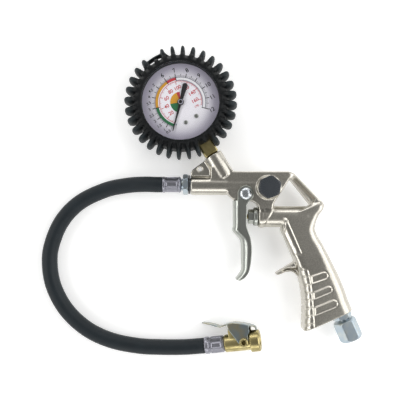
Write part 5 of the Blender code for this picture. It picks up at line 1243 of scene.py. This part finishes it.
hose = tube_piece("rubber_hose", hose_line, HOSE_RADIUS, GUN)
print("hose:", len(hose.data.polygons), "faces")

# %% [markdown]
# The rubber is a dark blue-grey with a dull shine. The cloth tape that wrapped it left threads 0.6 mm
# apart, drawn here 1.2 mm apart so that they show, crossing at a slant, and the tape's own edge as a
# shallow spiral every 24 mm. The threads' crests are also painted paler, as a painted sheen, in slow
# random blotches.

# %% Hose rubber
hose_rubber, tree, out = new_material("cloth_wrapped_hose_rubber")
map_place = node(tree, "UVMap", uv_map="millimetres")
space = node(tree, "TexCoord")
WAVE_PER_MM = 2 * math.pi / 20        # a wave texture of scale 1 repeats every 2 pi / 20 of a unit
ways = [node(tree, "Mapping", {
    "Vector": (map_place, "UV"), "Rotation": (0, 0, math.radians(slant))}) for slant in (48, -48, 58)]
threads = [node(tree, "TexWave", {
    "Vector": (way, "Vector"), "Scale": WAVE_PER_MM / 1.2, "Distortion": 0.6, "Detail": 1.0})
    for way in ways[:2]]
crossed = node(tree, "Math", {0: (threads[0], "Fac"), 1: (threads[1], "Fac")}, operation="MAXIMUM")
edge = node(tree, "TexWave", {"Vector": (ways[2], "Vector"), "Scale": WAVE_PER_MM / 20.3},
            wave_profile="SAW")
both = node(tree, "Math", {0: (crossed, 0), 1: 0.7}, operation="MULTIPLY")
height = node(tree, "Math", {0: (edge, "Fac"), 1: 0.5, 2: (both, 0)}, operation="MULTIPLY_ADD")
bloom = node(tree, "TexNoise", {"Vector": (space, "Object"), "Scale": grain(12), "Detail": 4.0})
# painted sheen: the threads' crests are painted paler, and slow random blotches vary how much
thread_sheen_and_blotches = node(tree, "Math", {0: (crossed, 0), 1: (bloom, "Fac")}, operation="MULTIPLY")
tint = node(tree, "Mix", {0: (thread_sheen_and_blotches, 0), 6: "10171B", 7: "202A30"}, data_type="RGBA")
dull = node(tree, "MapRange", {"Value": (bloom, "Fac"), "To Min": 0.46, "To Max": 0.60})
relief = node(tree, "Bump", {"Height": (height, 0), "Strength": 0.35, "Distance": 0.12 * MM})
rubber = node(tree, "BsdfPrincipled", {
    "Base Color": (tint, 2), "Roughness": (dull, "Result"), "IOR": 1.52, "Specular IOR Level": 0.3,
    "Normal": (relief, "Normal")})
tree.links.new(rubber.outputs[0], out.inputs["Surface"])
dress(hose, hose_rubber, "gun", "moulded_rubber", "hose")

# %% [markdown]
# ## Fitting, washer and gun-end ferrule
# The barrel's end carries a rubber washer, the hexagon of the hose's barbed fitting, and the ferrule. The
# ferrule is a thin tube closed by eight dies: the middle of it is pressed to eight pads, with a plain ring
# left at each end and a groove where the dies stop.

# %% Barrel end
washer = turn_ring("rubber_washer", [(7.3, 1.5), (7.3, 0.3), (5.2, 0.3), (5.2, 1.5)], 0.25, BARREL)
dress(washer, seal_rubber, "gun", "moulded_rubber", "hose_washer")
fitting_profile = [
    (2.7, 20.7), (3.3, 19.5), (3.3, 6.8), (4.5, 6.8), (4.5, 5.7), (7.3, 5.7), (8.2, 5.1), (8.2, 2.4),
    (7.3, 1.8), (4.9, 1.8), (4.9, -9.5), (1.8, -9.5), (1.8, 20.7),
]
fitting = turn_ring("hexagon_fitting", fitting_profile, 0.2, BARREL,
                    flats=(6, 14.2, 0.7, 1.7, 5.8), steps=144)
dress(fitting, blue_zinc, "gun", "zinc_steel", "hose_fitting")


def crimped_sleeve(name, low, high, ring, across, bore, place):
    """A ferrule: end rings of one radius, and eight pads pressed to a distance across flats."""
    pad_low, pad_high = low + 3.0, high - 2.6
    profile = [
        (ring - 1.0, low), (ring, low + 1.2), (ring, pad_low - 0.9), (ring - 0.7, pad_low - 0.45),
        (ring - 0.05, pad_low), (ring + 0.05, pad_high), (ring - 0.7, pad_high + 0.45),
        (ring, pad_high + 0.9), (ring, high), (bore, high), (bore, low),
    ]
    return turn_ring(name, profile, 0.3, place,
                     flats=(8, across, 0.9, pad_low - 0.35, pad_high + 0.35), steps=144)


gun_sleeve = crimped_sleeve("crimped_sleeve", 7.1, 21.5, 6.3, 11.7, 3.6, BARREL)
dress(gun_sleeve, crimped_zinc, "gun", "zinc_steel", "hose_ferrule")

# %% [markdown]
# ## The chuck's ferrule
# At the chuck the ferrule is a separate shape: a plain collar first, then a narrow neck, then a long part
# with eight deeply pressed pads whose corners stand out as ribs.

# %% Chuck ferrule
NOSE = CHUCK @ spin(90.0, "Y")
sleeve_profile = [
    (6.1, 0.3), (6.7, 0.9), (6.7, 3.4), (6.3, 4.0), (5.8, 4.2), (5.8, 4.8), (6.9, 5.4), (7.1, 6.2),
    (7.1, 14.0), (6.8, 14.9), (5.9, 15.3), (5.8, 15.9), (3.6, 15.9), (3.6, 0.3),
]
sleeve = turn_piece("chuck_sleeve", broken(sleeve_profile, 0.25, closed=True)[::-1], NOSE,
                    flats=(8, 12.6, 0.5, 4.7, 15.4), steps=144, closed=True)


def press_pads(piece, count, low, high, depth, half_share=0.62):
    """Presses a shallow pad into each flat between two heights, as the crimping dies do."""
    points = mesh_points(piece.data) / MM
    reach = np.hypot(points[:, 0], points[:, 1])
    angle = np.arctan2(points[:, 1], points[:, 0])
    step = 2 * math.pi / count
    off = np.abs((angle + step / 2) % step - step / 2) / (step / 2)
    inside = (1 - rise(off, half_share, half_share + 0.22)) * rise(points[:, 2], low, low + 0.8)
    inside *= (1 - rise(points[:, 2], high - 0.8, high)) * (reach > 5.0)
    points[:, :2] *= ((reach - depth * inside) / np.maximum(reach, 0.01))[:, None]
    move_points(piece, points * MM)


def slice_finely(piece, low, high, count):
    """Adds rings of points between two heights, so that the surface can be shaped there."""
    bm = bmesh.new()
    bm.from_mesh(piece.data)
    for i in range(count + 1):
        level = (low + (high - low) * i / count) * MM
        geometry = list(bm.verts) + list(bm.edges) + list(bm.faces)
        bmesh.ops.bisect_plane(bm, geom=geometry, plane_co=(0, 0, level), plane_no=(0, 0, 1))
    bm.to_mesh(piece.data)
    bm.free()


slice_finely(sleeve, 5.6, 14.4, 14)
press_pads(sleeve, 8, 5.9, 14.2, 0.55)
slice_finely(gun_sleeve, 9.6, 19.4, 14)
press_pads(gun_sleeve, 8, 10.1, 18.9, 0.35)
dress(sleeve, crimped_zinc, "gun", "zinc_steel", "chuck_ferrule")
print("pads pressed 0.35 and 0.55 mm deep")

# %% [markdown]
# ## The chuck's body
# A brass turning: a plain barrel, then a wider collar with a chamfered mouth that takes the tyre's valve.
# A block is joined on top for the clip's spring, and a slot in the collar lets the clip's hook through.

# %% Chuck body
body_profile = [
    (7.1, 44.2), (7.9, 43.9), (8.5, 43.0), (8.5, 36.9), (8.0, 36.4), (6.8, 36.4), (6.8, 16.8), (6.2, 16.2),
    (3.3, 16.2), (3.3, 22.5), (2.3, 22.5), (2.3, 35.0), (4.7, 35.0), (4.7, 42.6), (6.1, 44.2),
]
chuck = turn_ring("chuck_turning", body_profile, 0.3, NOSE)
block = brick("spring_block", (20.3, 1.0, -5.6), (31.0, 11.2, 5.6), CHUCK)
edges = block.modifiers.new("edges", "BEVEL")
edges.width = 0.6 * MM
edges.segments = 3
settle(block, "spring_block")
combine(chuck, block, operation="UNION")
SPRING_SEAT = CHUCK @ shift(25.4, 0.0, 0.0) @ spin(-90.0, "X")
RIVET_SEATS = {side: CHUCK @ shift(32.0, 0.0, 0.0) @ spin(angle, "X")
               for side, angle in (("front", 0.0), ("back", 180.0))}
drills = [
    rod("spring_well", 2.9, 8.0, 14.0, SPRING_SEAT),
    brick("hook_slot", (38.6, 2.0, -3.2), (43.3, 12.0, 3.2), CHUCK),
    *(rod(f"{side}_rivet_well", 2.5, 3.3, 12.0, seat) for side, seat in RIVET_SEATS.items()),
    rod("air_way", 2.3, 20.0, 36.5, NOSE),
]
crisp_cut(chuck, *drills)
freeze(chuck)
dress(chuck, turned_brass, "gun", "turned_brass", "chuck_body")
print("chuck:", len(chuck.data.polygons), "faces")

# %% [markdown]
# ## The clip
# The clip is one strip of spring steel: a rough thumb tab, a saddle over the chuck and a hook that catches
# the valve's thread, with two cheeks folded down to the rivets. Its folds are round, which the rounded copy
# gives.

# %% Clip
clip = cast_copy("pressed_clip", "chuck_clip", 0.25, 4)
lighten(clip, 0.22)
dress(clip, clip_zinc, "clip", "zinc_steel", "chuck_clip")

# %% [markdown]
# ## Rivets, seal and core pin
# Each cheek turns on a tubular brass rivet. Its rolled rim is bright and its hole is dark, so it reads as
# a ring. Inside the mouth are a rubber seal and the pin that opens the tyre's valve.

# %% Rivets and mouth
rivet_profile = [
    (1.6, 9.0), (2.0, 9.55), (2.7, 9.6), (3.3, 9.2), (3.5, 8.6), (3.5, 8.4), (2.2, 8.4), (2.2, 3.6),
    (1.6, 3.6),
]
for side, seat in RIVET_SEATS.items():
    rivet = turn_ring(f"clip_rivet_{side}_rolled", rivet_profile, 0.2, seat, steps=64)
    dress(rivet, turned_brass, "gun", "turned_brass", f"clip_rivet_{side}")
seal = turn_ring("mouth_seal", [(4.4, 37.9), (4.4, 35.3), (2.3, 35.3), (2.3, 37.9)], 0.3, NOSE, steps=64)
dress(seal, seal_rubber, "gun", "moulded_rubber", "chuck_seal")
for inner in ("chuck_tail", "chuck_depressor"):
    finish_solid(inner, turned_brass)

# %% [markdown]
# ## Springs
# A compression spring is wire wound on a mandrel, with the turns at its ends wound close so that it stands
# square. It is drawn as a tube along that path.

# %% Springs
COIL_STEPS = 24


def coil(name, reach, wire, low, high, turns, place, node_name):
    """A spring wound about Z, with its end turns wound close."""
    close = 1.1 * wire * 2
    worked = (high - low - 2 * close) / (turns - 2)
    line = []
    for i in range(int(turns * COIL_STEPS) + 1):
        turn = i / COIL_STEPS
        height = low + close * min(turn, 1.0) + worked * min(max(turn - 1.0, 0.0), turns - 2)
        height += close * max(turn - (turns - 1), 0.0)
        angle = 2 * math.pi * turn
        line.append(Vector((reach * math.cos(angle), reach * math.sin(angle), height)))
    made = tube_piece(name, line, wire, place, sides=12)
    dress(made, blue_zinc, "gun", "zinc_steel", node_name)
    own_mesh(made)
    return made


clip_coil = coil("clip_coil", 2.1, 0.4, 8.45, 14.0, 4.5, SPRING_SEAT, "clip_spring")
coil("valve_coil", 2.9, 0.4, 18.26, 35.29, 8.0, VALVE @ shift(0.0, 0.0, 53.55) @ spin(180.0, "X"),
     "valve_spring")
coil("knob_coil", 2.2, 0.35, 7.2, 16.05, 7.0, KNOB, "deflate_spring")
print("springs wound")

# %% [markdown]

print("hose ready")

# %% [markdown]
# ## The pivot screw
# The trigger turns on a chromed screw with a domed head and a cross recess. The dome mirrors the bright
# sides as a ring and the dark overhead as a spot, so it has to be truly round: 96 steps.

# %% Pivot screw and nut
dome = [(4.7 * math.sin(math.radians(a)) ** 0.9, 8.9 + 2.2 * math.cos(math.radians(a)))
        for a in range(4, 88, 7)]
screw_profile = [(AXIS, 11.1), *dome, (4.7, 8.85), (2.4, 8.8), (2.4, -11.8), (AXIS, -11.8)]
screw = turn_piece("domed_screw", screw_profile, PIVOT)
crisp_cut(screw, *(brick("cross_arm", (-1.9, -0.3, 10.55), (1.9, 0.3, 12.0), PIVOT @ spin(angle))
                   for angle in (45.0, 135.0)))
dress(screw, chrome, "gun", "bright_chrome", "trigger_screw")
nut_profile = [(4.0, -8.8), (4.62, -9.2), (4.62, -11.4), (4.0, -11.8), (2.7, -11.8), (2.7, -8.8)]
nut = turn_ring("pivot_nut", nut_profile[::-1], 0.15, PIVOT, flats=(6, 8.0, 0.3, -11.9, -8.7),
                turned_by=math.radians(30.0))
dress(nut, blue_zinc, "gun", "zinc_steel", "trigger_nut")

# %% [markdown]
# ## The valve's gland and push pin
# The valve tube is closed by a flanged gland nut, and the brass pin runs through it to meet the trigger.

# %% Gland and pin
gland_profile = [
    (5.1, 7.0), (5.1, -0.3), (7.0, -0.3), (7.2, -0.6), (7.2, -2.9), (6.7, -3.4), (5.77, -3.4), (5.77, -6.9),
    (5.1, -7.5), (2.0, -7.5), (2.0, 4.6), (3.4, 4.6), (3.4, 7.0),
]
gland = turn_ring("gland_hexagon", gland_profile, 0.2, VALVE, flats=(6, 10.0, 0.5, -7.6, -3.35), steps=144)
dress(gland, sheet_nickel, "gun", "zinc_steel", "gland_nut")
pin_side = broken([(1.4, 15.0), (1.7, 14.4), (1.7, -16.4), (1.2, -17.0)], 0.2)
pin = turn_piece("push_pin", [(AXIS, 15.0), *pin_side, (AXIS, -17.0)], VALVE, steps=48)
dress(pin, turned_brass, "valve", "turned_brass", "valve_pin")
finish_solid("gland_o_ring", seal_rubber)
finish_solid("valve_poppet", seal_rubber)
finish_solid("valve_seat", turned_brass)

# %% [markdown]
# ## The deflate knob
# A moulded hexagonal knob with well rounded corners, on a brass bush. Its mould was cut with fine radial
# lines, which show on every knob: a pattern of the angle round its axis.

# %% Knob shape
knob_profile = [
    (5.7, 12.9), (7.7, 12.9), (8.6, 13.3), (8.9, 14.2), (8.9, 18.6), (8.4, 19.7), (7.2, 20.15), (AXIS, 20.2),
]
knob = turn_piece("hexagonal_knob", broken(knob_profile, 0.35) + [(AXIS, 16.7), (5.7, 16.7)], KNOB,
                  flats=(6, 15.6, 2.4, 12.8, 20.3), steps=144, closed=True, turned_by=math.radians(-8.0))

# %% [markdown]
# Twenty-four lines go round the knob. They lie over the plastic's own sandy relief, and the tops of the
# ridges are painted paler, as a painted sheen.

# %% Radial mould lines
tree = knob_nylon.node_tree
place = next(n for n in tree.nodes if n.type == "TEX_COORD")
bump = next(n for n in tree.nodes if n.type == "BUMP")
plastic = next(n for n in tree.nodes if n.type == "BSDF_PRINCIPLED")
apart = node(tree, "SeparateXYZ", {0: (place, "Object")})
angle = node(tree, "Math", {0: (apart, "Y"), 1: (apart, "X")}, operation="ARCTAN2")
many = node(tree, "Math", {0: (angle, 0), 1: 24.0}, operation="MULTIPLY")
spokes = node(tree, "Math", {0: (many, 0)}, operation="SINE")
lines = node(tree, "Bump", {"Height": (spokes, 0), "Strength": 0.3, "Distance": 0.03 * MM,
                            "Normal": (bump, "Normal")})
# painted sheen: the tops of the radial ridges are painted a paler grey
painted_crest_sheen = node(tree, "MapRange", {"Value": (spokes, 0), "From Min": 0.6, "To Max": 0.14})
sandy = plastic.inputs["Base Color"].links[0].from_node
crest_sheen_tint = node(tree, "Mix", {0: (painted_crest_sheen, "Result"), 6: (sandy, 2), 7: "6C7378"}, data_type="RGBA")
tree.links.new(crest_sheen_tint.outputs[2], plastic.inputs["Base Color"])
tree.links.new(lines.outputs["Normal"], plastic.inputs["Normal"])
dress(knob, knob_nylon, "button", "black_plastic", "deflate_button")
finish_solid("deflate_pin", turned_brass)
bush_profile = [
    (4.2, 12.9), (4.2, 11.2), (5.2, 11.2), (5.2, 9.8), (4.3, 9.8), (4.3, 3.2), (1.5, 3.2), (1.5, 6.5),
    (3.2, 6.5), (3.2, 12.9),
]
bush = turn_ring("knob_bush", bush_profile, 0.2, KNOB)
dress(bush, turned_brass, "gun", "turned_brass", "deflate_bush")

# %% [markdown]
# ## The air inlet
# At the grip's foot a hexagon nipple screws into the casting, and a long swivel nut turns on it. The nut's
# ends are chamfered on a lathe after its flats are milled, which leaves a curved edge on each flat: the
# same cut comes from holding the turned profile back to the flats.

# %% Nipple and swivel nut
nipple_profile = [
    (3.4, 13.0), (4.0, 12.2), (4.0, 10.6), (5.8, 10.6), (5.8, 8.8), (4.2, 8.8), (4.2, 4.3), (7.0, 4.3),
    (7.74, 3.8), (7.74, 0.8), (7.0, 0.3), (5.0, 0.3), (5.0, -9.0), (2.8, -9.0), (2.8, 13.0),
]
nipple = turn_ring("inlet_hexagon", nipple_profile, 0.2, INLET, flats=(6, 13.4, 0.5, 0.2, 4.4), steps=144)
freeze(nipple)
dress(nipple, blue_zinc, "gun", "zinc_steel", "inlet_nipple")
nut_profile = [
    (6.2, 22.4), (7.6, 22.4), (8.5, 21.6), (9.2, 20.4), (9.2, 8.2), (8.5, 7.0), (7.6, 6.2), (4.5, 6.2),
    (4.5, 8.5), (6.2, 8.5),
]
swivel = turn_ring("swivel_nut_skin", nut_profile, 0.4, INLET, flats=(6, 16.0, 1.1, 6.1, 22.5), steps=144)
freeze(swivel)
dress(swivel, blue_zinc, "swivel_nut", "zinc_steel", "inlet_nut")
finish_solid("inlet_seal", seal_rubber)
print("small pieces ready")

# %% [markdown]
# ## The studio
# The photograph is a shop picture: white all round, bright tables and walls at the sides, and a darker
# patch overhead where the camera hangs. A satin metal shows exactly that: its upward faces reflect the
# dark patch and go grey, its rounded edges reflect the bright sides. So the world is bright near the
# horizon and dim at the top, and four soft boxes stand around the table: a large one on the right, whose
# light the grip's back shows as one broad white band, and three long narrow ones.
# The floor is white by its colour, with a share of its white given to camera, mirror and glass rays only,
# so that it reads as a white sheet and still takes the tool's shadow. That share grows with the distance
# from the tool, where the lamps don't reach.

# %% World
world = bpy.data.worlds.new("studio")
bpy.context.scene.world = world
world.use_nodes = True
tree = world.node_tree
tree.nodes.clear()
looking = node(tree, "TexCoord")
height = node(tree, "SeparateXYZ", {0: (looking, "Generated")})
dim = node(tree, "MapRange", {"Value": (height, "Z"), "From Min": 0.50, "From Max": 0.95,
                              "To Min": 0.55, "To Max": 0.20}, interpolation_type="SMOOTHSTEP")
rays = node(tree, "LightPath")
white = node(tree, "Math", {0: (dim, "Result"), 1: (rays, "Is Camera Ray")}, operation="MAXIMUM")
sky = node(tree, "Background", {"Color": "FFFFFF", "Strength": (white, 0)})
node(tree, "OutputWorld", {"Surface": (sky, 0)})

# %% [markdown]
# The floor reaches 3 m each way, so its edge is never seen.

# %% Floor
floor_white, tree, out = new_material("white_paper_sweep")
rays = node(tree, "LightPath")
seen = node(tree, "Math", {0: (rays, "Is Camera Ray"), 1: (rays, "Is Transmission Ray")},
            operation="MAXIMUM")
place = node(tree, "TexCoord")
away = node(tree, "VectorMath", {0: (place, "Object")}, operation="LENGTH")
glow = node(tree, "MapRange", {"Value": (away, "Value"), "From Min": 0.5, "From Max": 2.0,
                               "To Min": 0.34, "To Max": 0.80})
direct = node(tree, "Math", {0: (seen, 0), 1: (glow, "Result")}, operation="MULTIPLY")
share = node(tree, "Math", {0: (rays, "Is Glossy Ray"), 1: 0.42, 2: (direct, 0)}, operation="MULTIPLY_ADD")
paper = node(tree, "BsdfPrincipled", {
    "Base Color": "F4F4F3", "Roughness": 0.9, "Emission Color": (1, 1, 1, 1),
    "Emission Strength": (share, 0)})
tree.links.new(paper.outputs[0], out.inputs["Surface"])
half = 3000.0       # mm
floor = make_mesh("floor", [(-half, -half, 0), (half, -half, 0), (half, half, 0), (-half, half, 0)],
                  [(0, 1, 2, 3)], shift(0, 0, -0.2))
floor.data.materials.append(floor_white)

# %% [markdown]
# The boxes are hidden from the camera. A low side light is what draws the bright line on each edge.

# %% Soft boxes
BOX_DISTANCE = 1.3


def soft_box(name, azimuth, elevation, length, height, watts):
    """A soft box that faces the tool's middle; azimuth is counted from +X."""
    data = bpy.data.lights.new(name, "AREA")
    data.shape = "RECTANGLE"
    data.size = length
    data.size_y = height
    data.energy = watts
    lamp = bpy.data.objects.new(name, data)
    bpy.context.scene.collection.objects.link(lamp)
    turn, up = math.radians(azimuth), math.radians(elevation)
    spot = Vector((math.cos(turn) * math.cos(up), math.sin(turn) * math.cos(up), math.sin(up)))
    spot *= BOX_DISTANCE
    lamp.matrix_world = Matrix.Translation(spot) @ spot.to_track_quat("Z", "Y").to_matrix().to_4x4()
    lamp.visible_camera = False
    print(f"{name}: {watts} W over {length} x {height} m")


soft_box("box_right", 5.0, 38.0, 1.4, 1.2, 10.5)
soft_box("box_left", 185.0, 38.0, 1.3, 0.42, 5.4)
soft_box("box_top", 95.0, 32.0, 1.5, 0.34, 4.0)
soft_box("box_front", 270.0, 30.0, 1.5, 0.46, 4.6)
bpy.context.scene.view_settings.view_transform = "Standard"
